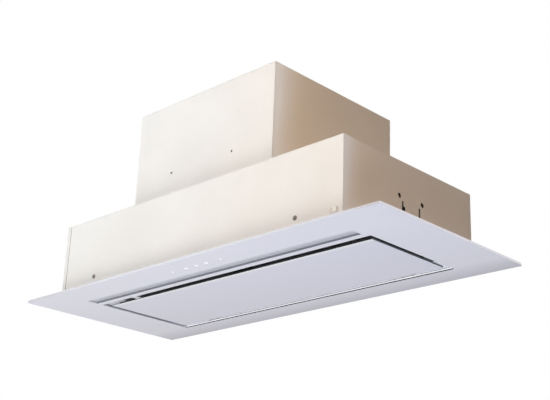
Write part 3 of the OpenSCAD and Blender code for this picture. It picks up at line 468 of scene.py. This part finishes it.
FINISHES = {
    "casing_steel": enamelled_steel(
        "cream_enamelled_steel", CASING_LOW.y, CASING_ROLL_REACH, CASING_ROLL_DROP),
    # The fascia glass. Its cut edges are painted light and shade one by one, by the way each edge
    # faces: light grey on the opening's edges, darker on the light slot's edges and on the lower arris
    # as painted shade, a near-black painted shadow line on the arris that faces forwards, lighter on
    # the edges and arris that face right, and dark outer edges under a painted glow. The glow also
    # paints a highlight along the opening's forward-facing edges, and the plate turns darker towards
    # its back as painted shade.
    "white_glass": finish_material(
        "white_fascia_glass", srgb(226, 225, 236), roughness=0.16, spread_by=0.05, cloud=0.01,
        grain_scale=300.0, grain_depth=0.000004, edge_colour=srgb(238, 237, 243), edge_radius=0.001,
        coat=0.2, coat_roughness=0.06, round_radius=0.0005,
        edge_colours_light_and_shade=(("Outer Edge", srgb(50, 50, 53)), ("Inner Edge", srgb(216, 217, 223)),
                     ("Slot Edge", srgb(172, 173, 180)), ("Rightward Edge", srgb(206, 207, 213)),
                     ("Arris", srgb(138, 140, 147)), ("Side Arris", srgb(236, 237, 243)),
                     ("Rear Arris", srgb(22, 23, 28))),
        painted_edge_glow=(("Outer Edge", srgb(187, 183, 186)), ("Outer Right Edge", srgb(203, 201, 207)),
                      ("Forward Edge", srgb(216, 216, 222))),
        painted_ramp=(GLASS_SHADE_START, GLASS_HIGH.y, srgb(190, 189, 201))),
    # The panel glass: grey edges, with painted shade on them, black on the edges right of a line where
    # the gap round the panel lies in shadow and dark slate on the right-facing ones. Its lighter base
    # colour turns to its own colour 4 to 11 mm behind the front, which paints a highlight along the
    # front edge.
    "panel_glass": finish_material(
        "white_panel_glass", srgb(238, 238, 240), roughness=0.18, spread_by=0.05, cloud=0.01,
        grain_scale=300.0, grain_depth=0.000004, coat=0.2, coat_roughness=0.06, round_radius=0.0003,
        edge_colours_light_and_shade=(("Edge", srgb(186, 188, 196)), ("Strip", srgb(26, 27, 30)),
                     ("Rightward Edge", srgb(88, 92, 100))),
        painted_ramp=(PANEL_HIGHLIGHT_START, PANEL_HIGHLIGHT_END, srgb(218, 217, 231))),
    "zinc_steel": finish_material(
        "zinc_coated_steel", STEEL_GREY, roughness=0.4, metallic=0.75, pattern="zinc",
        edge_colour=srgb(215, 215, 214)),
    "black_steel": finish_material(
        "black_enamelled_steel", srgb(30, 30, 32), roughness=0.5, grain_scale=1800.0,
        grain_depth=0.00004, edge_colour=srgb(70, 70, 74)),
    # The collar glows a little: painted light that brightens its walls in the narrow gap round the
    # panel.
    "collar_white": finish_material(
        "white_enamelled_steel_painted_glow", srgb(236, 236, 243), roughness=0.4, cloud=0.02,
        edge_colour=srgb(244, 244, 248), emission=0.3),
    # The light slot's diffuser turns greyer towards its rear edge: painted shade in the recess.
    "diffuser": finish_material(
        "opal_acrylic", srgb(212, 212, 219), roughness=0.38, cloud=0.015, grain_scale=2200.0,
        painted_ramp=(DIFFUSER_SHADE_START, DIFFUSER_HIGH.y, srgb(182, 182, 190))),
    "bare_aluminium": finish_material(
        "brushed_aluminium", srgb(200, 202, 205), roughness=0.34, metallic=0.9, pattern="brushed",
        grain_depth=0.00001, edge_colour=srgb(228, 229, 232)),
    "mesh_aluminium": finish_material(
        "mesh_aluminium", srgb(176, 178, 182), roughness=0.38, metallic=0.7, cloud=0.1,
        cloud_scale=60.0, edge_colour=srgb(200, 202, 205), edge_radius=0.0004),
    "key_print": finish_material(
        "key_print", srgb(250, 250, 252), roughness=0.3, cloud=0.01, emission=0.35),
    "board_green": finish_material(
        "green_circuit_board", srgb(38, 92, 58), roughness=0.35, cloud=0.08, cloud_scale=120.0,
        coat=0.4, edge_colour=srgb(150, 150, 100)),
    "board_white": finish_material(
        "white_circuit_board", srgb(235, 234, 228), roughness=0.35, cloud=0.03, cloud_scale=60.0,
        edge_colour=srgb(200, 195, 160)),
    "chip_yellow": finish_material(
        "phosphor", srgb(240, 205, 90), roughness=0.3, cloud=0.05, cloud_scale=400.0),
    "screw_zinc": finish_material(
        "zinc_plated_screw", srgb(188, 188, 186), roughness=0.3, metallic=0.95, cloud=0.08,
        cloud_scale=300.0, edge_colour=srgb(220, 220, 218), edge_radius=0.0003),
    "screw_dark": finish_material(
        "bronze_black_screw", srgb(124, 111, 95), roughness=0.34, metallic=0.5, cloud=0.1,
        cloud_scale=300.0, edge_colour=srgb(150, 142, 132), edge_radius=0.0003, edge_share=0.35),
    "clip_cream": finish_material(
        "cream_moulding", srgb(253, 247, 232), roughness=0.45, grain_scale=1500.0, grain_depth=0.00003,
        edge_colour=srgb(255, 251, 240), edge_radius=0.0006),
    "black_plastic": finish_material(
        "black_moulding", srgb(36, 36, 38), roughness=0.5, grain_scale=1300.0, grain_depth=0.00006,
        edge_colour=srgb(74, 74, 78)),
    "grey_plastic": finish_material(
        "grey_moulding", srgb(122, 126, 132), roughness=0.45, grain_scale=1300.0, grain_depth=0.00004,
        edge_colour=srgb(158, 162, 168)),
    "motor_steel": finish_material(
        "grey_motor_steel", srgb(140, 142, 146), roughness=0.38, metallic=0.6, pattern="brushed",
        grain_depth=0.00001, edge_colour=srgb(185, 186, 190)),
    "shaft_steel": finish_material(
        "ground_steel", srgb(180, 182, 186), roughness=0.24, metallic=0.95, pattern="brushed",
        grain_depth=0.000006, edge_colour=srgb(214, 215, 218), edge_radius=0.0004),
    "black_rubber": finish_material(
        "black_rubber", srgb(28, 28, 29), roughness=0.75, spread_by=0.1, grain_scale=1000.0,
        grain_depth=0.00008, edge_colour=srgb(52, 52, 54)),
    "capacitor_can": finish_material(
        "drawn_aluminium_can", srgb(205, 206, 212), roughness=0.3, metallic=0.9, pattern="brushed",
        grain_depth=0.000008, edge_colour=srgb(230, 230, 234)),
    "latch_red": finish_material(
        "red_moulding", srgb(168, 42, 34), roughness=0.42, grain_scale=1300.0, grain_depth=0.00004,
        edge_colour=srgb(206, 84, 74), edge_radius=0.0008),
    "cover_white": finish_material(
        "white_moulding", srgb(226, 226, 220), roughness=0.46, grain_scale=1300.0, grain_depth=0.00005,
        edge_colour=srgb(240, 240, 236)),
}


TOWER_ENAMEL = enamelled_steel(
    "cream_enamelled_tower_steel", TOWER_LOW.y, TOWER_ROLL_REACH, TOWER_ROLL_DROP)
# A dark brown for the nut plates behind the side holes, which paints the shade seen through the holes.
NUT_PLATE_PAINTED_SHADE = finish_material(
    "nut_plate_painted_shade", srgb(58, 42, 30), roughness=0.6, cloud=0.06, cloud_scale=60.0,
    edge_colour=srgb(78, 60, 46))
CATCH_MOULDING = finish_material(
    "white_catch_moulding", srgb(206, 207, 214), roughness=0.45, grain_scale=1300.0,
    grain_depth=0.00004, edge_colour=srgb(224, 224, 230), edge_radius=0.0005)


def coat_cad_nodes():
    """Every CAD node takes the finish of its slot in the record, apart from those with their own."""
    for row in frame["record"]["subparts"]:
        mesh = nodes[row["node"]].data
        mesh.materials.clear()
        mesh.materials.append(FINISHES[row["material_slot"]])
    for name in ("tower_front_sides", "tower_rear", "tower_top"):
        nodes[name].data.materials[0] = TOWER_ENAMEL
    nodes["panel_catch"].data.materials[0] = CATCH_MOULDING
    for name in ("nut_plate_left", "nut_plate_right"):
        nodes[name].data.materials[0] = NUT_PLATE_PAINTED_SHADE


# Modelling helpers

MERGE_DISTANCE = 0.01 * MM
SMOOTH_ANGLE = math.radians(35)


def start_clean():
    """Leaves edit mode and selects nothing, for a new primitive."""
    if bpy.context.object and bpy.context.object.mode != "OBJECT":
        bpy.ops.object.mode_set(mode="OBJECT")
    bpy.ops.object.select_all(action="DESELECT")


def select_only(pieces):
    """Selects these pieces and makes the first one active."""
    bpy.ops.object.select_all(action="DESELECT")
    for piece in pieces:
        piece.select_set(True)
    bpy.context.view_layer.objects.active = pieces[0]


def rename(piece, name):
    """Gives a piece and its mesh their name."""
    piece.name = name
    piece.data.name = name


def settle(piece, name, material):
    """Names a finished piece, gives it its finish, and moves its place into its mesh."""
    select_only([piece])
    bpy.ops.object.transform_apply(location=True, rotation=True, scale=True)
    rename(piece, name)
    piece.data.materials.clear()
    piece.data.materials.append(material)
    return piece


def apply_modifiers(piece):
    """Makes every modifier part of the piece's mesh."""
    select_only([piece])
    for modifier in list(piece.modifiers):
        bpy.ops.object.modifier_apply(modifier=modifier.name)


def cut_away(piece, cutter):
    """Takes the cutter's shape out of the piece, and removes the cutter."""
    cut = piece.modifiers.new("cut", "BOOLEAN")
    cut.operation = "DIFFERENCE"
    cut.solver = "EXACT"
    cut.object = cutter
    apply_modifiers(piece)
    bpy.data.objects.remove(cutter)


def soften_edges(piece, width, segments):
    """Rounds the piece's sharp edges."""
    bevel = piece.modifiers.new("edge", "BEVEL")
    bevel.width = width
    bevel.segments = segments
    bevel.limit_method = "ANGLE"
    apply_modifiers(piece)


def join(pieces, name):
    """Makes one piece of several."""
    select_only(pieces)
    bpy.ops.object.join()
    joined = bpy.context.object
    rename(joined, name)
    return joined


def copied(piece, matrix):
    """A copy with its own mesh, placed by the matrix."""
    other = piece.copy()
    other.data = piece.data.copy()
    bpy.context.scene.collection.objects.link(other)
    other.data.transform(matrix)
    return other


def turned_solid(profile, steps, name, material):
    """A round solid about Z at the origin, drawn up ring by ring from (radius, height) points. Open
    ends are closed, and a profile that comes back to its first point gives a tube."""
    start_clean()
    radius, height = profile[0]
    bpy.ops.mesh.primitive_circle_add(vertices=steps, radius=radius, location=(0, 0, height))
    piece = bpy.context.object
    bpy.ops.object.transform_apply(location=True, rotation=True, scale=True)
    bpy.ops.object.mode_set(mode="EDIT")
    bpy.ops.mesh.select_all(action="SELECT")
    for (r0, h0), (r1, h1) in zip(profile, profile[1:]):
        bpy.ops.mesh.extrude_edges_move(TRANSFORM_OT_translate={"value": (0, 0, h1 - h0)})
        bpy.ops.transform.resize(value=(r1 / r0, r1 / r0, 1), center_override=(0, 0, h1))
    bpy.ops.mesh.select_all(action="SELECT")
    bpy.ops.mesh.remove_doubles(threshold=MERGE_DISTANCE)
    bpy.ops.mesh.fill_holes(sides=0)
    bpy.ops.mesh.select_all(action="SELECT")
    bpy.ops.mesh.normals_make_consistent(inside=False)
    bpy.ops.object.mode_set(mode="OBJECT")
    bpy.ops.object.shade_smooth_by_angle(angle=SMOOTH_ANGLE)
    rename(piece, name)
    piece.data.materials.append(material)
    return piece


# Screws

SCREW_HEAD_R = 4.2 * MM
SHEET_SCREW_R = 3.6 * MM
SCREW_HEAD_H = 1.8 * MM
SCREW_RIM_H = 0.5 * MM
SCREW_SHANK_R = 1.805 * MM
SCREW_TIP_R = 0.95 * MM
SCREW_TIP_H = 1.2 * MM
CASING_SCREW_L = 9 * MM
SHEET_SCREW_L = 2 * MM
SCREW_SIDES = 24
CROWN_ANGLES = [math.radians(14 * k) for k in range(7)]
RECESS_W = 0.8 * MM
RECESS_D = 2.0 * MM
SCREW_INSET = 7 * MM
FLANGE_T = 1.5 * MM
SCREW_END_INSET = 21 * MM
TOWER_SCREW_SHARES = (0.12, 0.5, 0.88)
CASING_SCREW_SHARES = (0.25, 0.85)
# Each recess stands at its own turn, as in screws driven by hand: in radians for the casing's
# screws, and in radians per share of an edge's height or per metre along it for the others
FRONT_TURNS = (-0.6, 1.4)
REAR_TURNS = (1.9, -0.1)
TOWER_REAR_TURN = 5
CASING_REAR_TURN = 3
CASING_TOP_TURN = 40
TOWER_TOP_TURN = 30


def pan_head_screw(name, head_r, shank, slot):
    """A pan-head screw with a cross recess. It points along -Z, with the head's seat at z = 0."""
    crown = [(head_r * math.cos(angle), SCREW_RIM_H + (SCREW_HEAD_H - SCREW_RIM_H) * math.sin(angle))
             for angle in CROWN_ANGLES]
    profile = [(SCREW_TIP_R, -shank), (SCREW_SHANK_R, -shank + SCREW_TIP_H), (SCREW_SHANK_R, 0.0),
               (head_r, 0.0)] + crown
    screw = turned_solid(profile, SCREW_SIDES, name, FINISHES[slot])
    for arm in ((head_r, RECESS_W), (RECESS_W, head_r)):
        bpy.ops.mesh.primitive_cube_add(size=1, location=(0, 0, SCREW_HEAD_H))
        cutter = bpy.context.object
        cutter.scale = (*arm, RECESS_D)
        cut_away(screw, cutter)
    return screw


def screws_at(name, places, head_r, shank, slot):
    """One piece of several screws, from (point, outward direction, turn) places."""
    pattern = pan_head_screw(name + "_pattern", head_r, shank, slot)
    made = []
    for point, outward, turn in places:
        facing = Vector(outward).to_track_quat("Z", "Y").to_matrix().to_4x4()
        placed = Matrix.Translation(point) @ facing @ Matrix.Rotation(turn, 4, "Z")
        made.append(copied(pattern, placed))
    bpy.data.objects.remove(pattern)
    screws = join(made, name)
    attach(screws, "hood")
    return screws


def casing_screw_places():
    """The two front screws and the two behind them, at the CAD screws' places."""
    low, high = corners("casing_screws")
    x = high.x - SCREW_HEAD_R
    z = (low.z + high.z) / 2
    rows = []
    for y, outward, turns in ((low.y + SCREW_HEAD_H, (0, -1, 0), FRONT_TURNS),
                              (high.y - SCREW_HEAD_H, (0, 1, 0), REAR_TURNS)):
        for s, turn in zip((-1, 1), turns):
            rows.append((Vector((s * x, y, z)), outward, turn))
    return rows


def sheet_screw_places():
    """Screws up the rear edges of the tower and the casing, and along the edges of their tops."""
    tower_h = TOWER_HIGH.z - TOWER_LOW.z
    casing_h = CASING_HIGH.z - CASING_LOW.z
    y_end = REAR_HIGH.y - SCREW_END_INSET
    rows = []
    for s in (-1, 1):
        tower_x = s * (TOWER_HIGH.x - SCREW_INSET)
        casing_x = s * (CASING_HIGH.x - SCREW_INSET)
        for share in TOWER_SCREW_SHARES:
            place = Vector((tower_x, REAR_HIGH.y, TOWER_LOW.z + share * tower_h))
            rows.append((place, (0, 1, 0), share * TOWER_REAR_TURN + s))
        for share in CASING_SCREW_SHARES:
            place = Vector((casing_x, REAR_HIGH.y, CASING_LOW.z + share * casing_h))
            rows.append((place, (0, 1, 0), share * CASING_REAR_TURN - s))
        for y in (CASING_LOW.y + SCREW_END_INSET, 0.0, y_end):
            rows.append((Vector((casing_x, y, TOP_HIGH.z)), (0, 0, 1), y * CASING_TOP_TURN + s))
        for y in (TOWER_LOW.y + SCREW_END_INSET, y_end):
            rows.append((Vector((tower_x, y, CAP_HIGH.z)), (0, 0, 1), y * TOWER_TOP_TURN - s))
    return rows


def flange_screw_places():
    """Four screws that hold the spigot's flange, on its diagonals."""
    centre = (SPIGOT_LOW + SPIGOT_HIGH) / 2
    reach = (SPIGOT_HIGH.x - SPIGOT_LOW.x) / 2 - SCREW_INSET
    rows = []
    for angle in (math.radians(45 + 90 * k) for k in range(4)):
        place = Vector((centre.x + reach * math.cos(angle), centre.y + reach * math.sin(angle),
                        SPIGOT_LOW.z + FLANGE_T))
        rows.append((place, (0, 0, 1), angle))
    return rows


def make_screws():
    """The casing's screws, in place of the CAD's, and the small ones of the hidden edges."""
    front = screws_at("casing_screw_heads", casing_screw_places(), SCREW_HEAD_R, CASING_SCREW_L,
                      "screw_dark")
    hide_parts("casing_screws")
    screws_at("sheet_screws", sheet_screw_places(), SHEET_SCREW_R, SHEET_SCREW_L, "screw_zinc")
    screws_at("flange_screws", flange_screw_places(), SHEET_SCREW_R, SHEET_SCREW_L, "screw_zinc")


# Duct spigot

SPIGOT_WALL_R = 75 * MM
BEAD_R = 0.9 * MM
BEAD_DROPS = (10 * MM, 22 * MM)
BEAD_STEPS = 96
BEAD_SIDES = 10


def make_spigot_ring():
    """Two raised beads round the duct spigot, which a clamped hose grips."""
    centre = (SPIGOT_LOW + SPIGOT_HIGH) / 2
    beads = []
    for index, drop in enumerate(BEAD_DROPS):
        bpy.ops.object.select_all(action="DESELECT")
        bpy.ops.mesh.primitive_torus_add(
            major_radius=SPIGOT_WALL_R, minor_radius=BEAD_R, major_segments=BEAD_STEPS,
            minor_segments=BEAD_SIDES, location=(centre.x, centre.y, SPIGOT_HIGH.z - drop))
        bead = settle(bpy.context.object, f"spigot_bead_{index}", FINISHES["black_plastic"])
        bpy.ops.object.shade_smooth()
        beads.append(bead)
    ring = join(beads, "spigot_beads")
    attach(ring, "hood")


# Cable inlet

GLAND_BORE_R = 5 * MM
GLAND_LIP_H = 0.4 * MM
GLAND_STEPS = 48
# Millimetres: the gland's outline up from its foot, and then by depth under its top
GLAND_FOOT = ((12.4, 0.0), (12.4, 1.0), (9.6, 1.4), (9.6, 6.2), (8.8, 6.6))
GLAND_DOME = ((8.8, 4.5), (8.2, 2.2), (7.0, 0.7), (6.0, 0.0))
GLAND_NUT_R = 11.6 * MM
GLAND_NUT_H = 3.6 * MM
GLAND_NUT_MIDDLE = 3.0 * MM
GLAND_NUT_HOLE_R = 8.6 * MM
GLAND_NUT_CUT_H = 8 * MM
GLAND_NUT_EDGE = 0.4 * MM


def make_cable_inlet():
    """A domed gland with a hexagon nut at its foot, in place of the plain one."""
    centre = (INLET_LOW + INLET_HIGH) / 2
    base = INLET_LOW.z
    height = INLET_HIGH.z - INLET_LOW.z
    profile = [(GLAND_BORE_R, 0.0)]
    profile += [(radius * MM, up * MM) for radius, up in GLAND_FOOT]
    profile += [(radius * MM, height - down * MM) for radius, down in GLAND_DOME]
    profile += [(GLAND_BORE_R, height - GLAND_LIP_H), (GLAND_BORE_R, 0.0)]
    gland = turned_solid(profile, GLAND_STEPS, "cable_gland", FINISHES["black_plastic"])
    gland.data.transform(Matrix.Translation((centre.x, centre.y, base)))
    start_clean()
    nut_place = (centre.x, centre.y, base + GLAND_NUT_MIDDLE)
    bpy.ops.mesh.primitive_cylinder_add(
        vertices=6, radius=GLAND_NUT_R, depth=GLAND_NUT_H, location=nut_place)
    nut = bpy.context.object
    bpy.ops.mesh.primitive_cylinder_add(
        vertices=GLAND_STEPS, radius=GLAND_NUT_HOLE_R, depth=GLAND_NUT_CUT_H, location=nut_place)
    cut_away(nut, bpy.context.object)
    soften_edges(nut, GLAND_NUT_EDGE, segments=2)
    settle(nut, "gland_nut", FINISHES["black_plastic"])
    joined = join([gland, nut], "cable_gland")
    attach(joined, "hood")
    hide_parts("cable_inlet")


# Corner clip

CLIP_SLOT_LEFT = CLIP_LOW.x + 1.4 * MM
CLIP_SLOT_RIGHT = CLIP_LOW.x + 3.8 * MM
CLIP_SLOT_LOW = CLIP_LOW.z + 0.8 * MM
CLIP_SLOT_HIGH = CLIP_HIGH.z - 0.8 * MM
CLIP_EDGE = 0.3 * MM
FACES_FRONT_OR_BACK = 0.9


def make_corner_clip():
    """A thin moulded tab with soft corners, open down a slot near its left end."""
    start_clean()
    bpy.ops.mesh.primitive_cube_add(size=1, location=(CLIP_LOW + CLIP_HIGH) / 2)
    clip = bpy.context.object
    clip.scale = CLIP_HIGH - CLIP_LOW
    bpy.ops.object.transform_apply(location=True, rotation=True, scale=True)
    bpy.ops.object.mode_set(mode="EDIT")
    for place, normal in (((CLIP_SLOT_LEFT, 0, 0), (1, 0, 0)), ((CLIP_SLOT_RIGHT, 0, 0), (1, 0, 0)),
                          ((0, 0, CLIP_SLOT_LOW), (0, 0, 1)), ((0, 0, CLIP_SLOT_HIGH), (0, 0, 1))):
        bpy.ops.mesh.select_all(action="SELECT")
        bpy.ops.mesh.bisect(plane_co=place, plane_no=normal)
    bpy.ops.mesh.select_all(action="DESELECT")
    bpy.ops.object.mode_set(mode="OBJECT")
    for face in clip.data.polygons:
        face.select = (abs(face.normal.y) > FACES_FRONT_OR_BACK
                       and CLIP_SLOT_LEFT < face.center.x < CLIP_SLOT_RIGHT
                       and CLIP_SLOT_LOW < face.center.z < CLIP_SLOT_HIGH)
    bpy.ops.object.mode_set(mode="EDIT")
    bpy.ops.mesh.bridge_edge_loops()
    bpy.ops.mesh.select_all(action="SELECT")
    bpy.ops.mesh.normals_make_consistent(inside=False)
    bpy.ops.object.mode_set(mode="OBJECT")
    soften_edges(clip, CLIP_EDGE, segments=3)
    settle(clip, "corner_clip_moulding", FINISHES["clip_cream"])
    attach(clip, "hood")
    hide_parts("corner_clip")


# Filters

MESH_CELL_X = 9.0 * MM
MESH_CELL_Y = 5.0 * MM
STRAND = 1.6 * MM
# Half the diagonal of a unit cell, which scales the turned cells to the diamonds' size
HALF_DIAGONAL = math.sqrt(0.5)
CELL_SCALE = (MESH_CELL_X * HALF_DIAGONAL, MESH_CELL_Y * HALF_DIAGONAL)
LAYER_SHIFT = MESH_CELL_X / 4


def diamond_sheet(low, high, z, name):
    """One layer of expanded metal: a lattice of diamond openings cropped to a rectangle."""
    start_clean()
    span = math.hypot((high.x - low.x) / MESH_CELL_X, (high.y - low.y) / MESH_CELL_Y)
    count = int(span / HALF_DIAGONAL) + 2
    bpy.ops.mesh.primitive_grid_add(x_subdivisions=count, y_subdivisions=count, size=count)
    sheet = bpy.context.object
    centre = Vector(((low.x + high.x) / 2, (low.y + high.y) / 2, z))
    sheet.data.transform(Matrix.Rotation(math.radians(45), 4, "Z"))
    sheet.data.transform(Matrix.Diagonal((*CELL_SCALE, 1, 1)))
    sheet.data.transform(Matrix.Translation(centre))
    bpy.ops.object.mode_set(mode="EDIT")
    for point, normal in ((low, (-1, 0, 0)), (low, (0, -1, 0)), (high, (1, 0, 0)), (high, (0, 1, 0))):
        bpy.ops.mesh.select_all(action="SELECT")
        bpy.ops.mesh.bisect(plane_co=point, plane_no=normal, clear_outer=True)
    bpy.ops.object.mode_set(mode="OBJECT")
    strands = sheet.modifiers.new("strands", "WIREFRAME")
    strands.thickness = STRAND
    strands.use_even_offset = False
    strands.use_boundary = True
    apply_modifiers(sheet)
    return settle(sheet, name, FINISHES["mesh_aluminium"])


def make_filter_meshes():
    """Two layers of expanded metal in each cassette, in place of the CAD's plain sheet."""
    for side in ("left", "right"):
        low, high = corners("filter_mesh_" + side)
        layers = [diamond_sheet(low, high, z, f"expanded_mesh_{side}_{k}")
                  for k, z in enumerate((low.z + STRAND, high.z - STRAND))]
        layers[1].data.transform(Matrix.Translation((LAYER_SHIFT, 0, 0)))
        mesh = join(layers, "expanded_mesh_" + side)
        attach(mesh, "hood")
        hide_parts("filter_mesh_" + side)


# Stage, light and camera

CAMERA_AT = Vector((1389.9, -1354.3, -567.0)) * MM
CAMERA_YAW = math.radians(44.789)
CAMERA_PITCH = math.radians(20.810)
CAMERA_ROLL = math.radians(2.173)
CAMERA_LENS = 71.72
SENSOR_W = 36.0
FLOOR_Z = -3.2
FLOOR_SIZE = 30
FLOOR_ROUGHNESS = 0.9
FLOOR_GLOW = 0.62
SPECKLE_SCALE = 3.0
WHITE = (1.0, 1.0, 1.0, 1.0)
SKY_COLOUR = (1.0, 0.52, 0.24, 1.0)
SKY_STRENGTH = 0.085
LAMP_TARGET = (0.0, 0.0, 0.15)
# Name, place, size, watts, colour, and whether it shows as a bright patch in glossy faces
LAMPS = (
    ("key", (-1.6, -1.4, 1.3), 1.6, 30, (0.75, 0.87, 1.0), True),
    ("front", (0.0, -2.2, 0.5), 0.9, 9.0, (0.70, 0.85, 1.0), False),
    ("under", (0.05, -0.8, -1.25), 1.2, 12.6, (1.0, 0.97, 0.93), False),
    ("under_right", (1.0, -0.7, -1.4), 1.0, 10.8, (0.58, 0.78, 1.0), False),
    ("under_left", (-0.8, -0.7, -0.9), 0.8, 4.0, (0.84, 0.96, 1.0), False),
    ("side", (0.9, -0.8, 0.6), 0.6, 4.6, (1.0, 0.80, 0.60), True),
    ("back", (0.0, 3.4, 0.9), 2.0, 45, (0.96, 0.97, 1.0), True),
    ("left", (-3.2, 0.9, 0.7), 1.8, 22, (0.95, 0.97, 1.0), True),
    ("top", (-0.4, 0.7, 3.0), 1.6, 32, (0.97, 0.98, 1.0), True),
)


def place_camera():
    """The photograph's view: in front, to the right and below, looking up."""
    forward = Vector((-math.sin(CAMERA_YAW) * math.cos(CAMERA_PITCH),
                      math.cos(CAMERA_YAW) * math.cos(CAMERA_PITCH), math.sin(CAMERA_PITCH)))
    level = Vector((math.cos(CAMERA_YAW), math.sin(CAMERA_YAW), 0))
    above = level.cross(forward)
    right = math.cos(CAMERA_ROLL) * level + math.sin(CAMERA_ROLL) * above
    up = -math.sin(CAMERA_ROLL) * level + math.cos(CAMERA_ROLL) * above
    data = bpy.data.cameras.new("photo_camera")
    data.lens = CAMERA_LENS
    data.sensor_width = SENSOR_W
    camera = bpy.data.objects.new("photo_camera", data)
    bpy.context.scene.collection.objects.link(camera)
    turn = Matrix((right, up, -forward)).transposed()
    camera.matrix_world = Matrix.Translation(CAMERA_AT) @ turn.to_4x4()
    bpy.context.scene.camera = camera


def seen_directly(tree):
    """One where the camera, a reflection or a clear sheet looks, and zero for light on the object."""
    path = tree.nodes.new("ShaderNodeLightPath")
    return maths(tree, "MAXIMUM", path.outputs["Is Camera Ray"],
                 maths(tree, "MAXIMUM", path.outputs["Is Glossy Ray"],
                       path.outputs["Is Transmission Ray"]))


def soft_sky():
    """A world that lights the object dimly and warmly, and is white to the camera and in
    reflections."""
    world = bpy.data.worlds.new("soft_sky")
    world.use_nodes = True
    bpy.context.scene.world = world
    tree = world.node_tree
    tree.nodes.clear()
    lit = add(tree, "ShaderNodeBackground", Color=SKY_COLOUR, Strength=SKY_STRENGTH)
    white = add(tree, "ShaderNodeBackground", Color=WHITE, Strength=1.0)
    mix = tree.nodes.new("ShaderNodeMixShader")
    for socket, source in zip(mix.inputs, (seen_directly(tree), lit.outputs[0], white.outputs[0])):
        feed(tree, socket, source)
    add(tree, "ShaderNodeOutputWorld", Surface=mix.outputs[0])


def make_floor():
    """A plain floor that looks pale from any side, keeps the shadow, and lights nothing."""
    bpy.ops.object.select_all(action="DESELECT")
    bpy.ops.mesh.primitive_plane_add(size=FLOOR_SIZE, location=(0, 0, FLOOR_Z))
    floor = bpy.context.object
    floor.name = "floor"
    material = bpy.data.materials.new("pale_floor")
    material.use_nodes = True
    tree = material.node_tree
    surface = tree.nodes["Principled BSDF"]
    place = add(tree, "ShaderNodeTexCoord").outputs["Object"]
    speckle = noise(tree, place, SPECKLE_SCALE, detail=3.0)
    feed(tree, surface.inputs["Base Color"],
         mix_colour(tree, speckle, srgb(206, 206, 207), srgb(214, 214, 215)))
    feed(tree, surface.inputs["Emission Color"], mix_colour(tree, seen_directly(tree), BLACK, WHITE))
    surface.inputs["Roughness"].default_value = FLOOR_ROUGHNESS
    surface.inputs["Emission Strength"].default_value = FLOOR_GLOW
    floor.data.materials.append(material)


def area_light(name, place, size, power, colour, mirrored):
    """A square soft lamp. One that isn't mirrored leaves no bright patch in the glass."""
    data = bpy.data.lights.new(name, "AREA")
    data.shape = "SQUARE"
    data.size = size
    data.energy = power
    data.color = colour
    lamp = bpy.data.objects.new(name, data)
    bpy.context.scene.collection.objects.link(lamp)
    lamp.location = place
    lamp.visible_glossy = mirrored
    lamp.rotation_mode = "QUATERNION"
    lamp.rotation_quaternion = (Vector(LAMP_TARGET) - Vector(place)).to_track_quat("-Z", "Y")


def light_the_set():
    """A cool key from the upper left and a weaker front lamp, three lamps under the glass, a warm
    one at the right, and fills for the back, the left and the top."""
    soft_sky()
    for lamp in LAMPS:
        area_light(*lamp)
    bpy.context.scene.view_settings.view_transform = "Standard"


coat_cad_nodes()
make_screws()
make_spigot_ring()
make_cable_inlet()
make_corner_clip()
make_filter_meshes()
make_floor()
light_the_set()
place_camera()
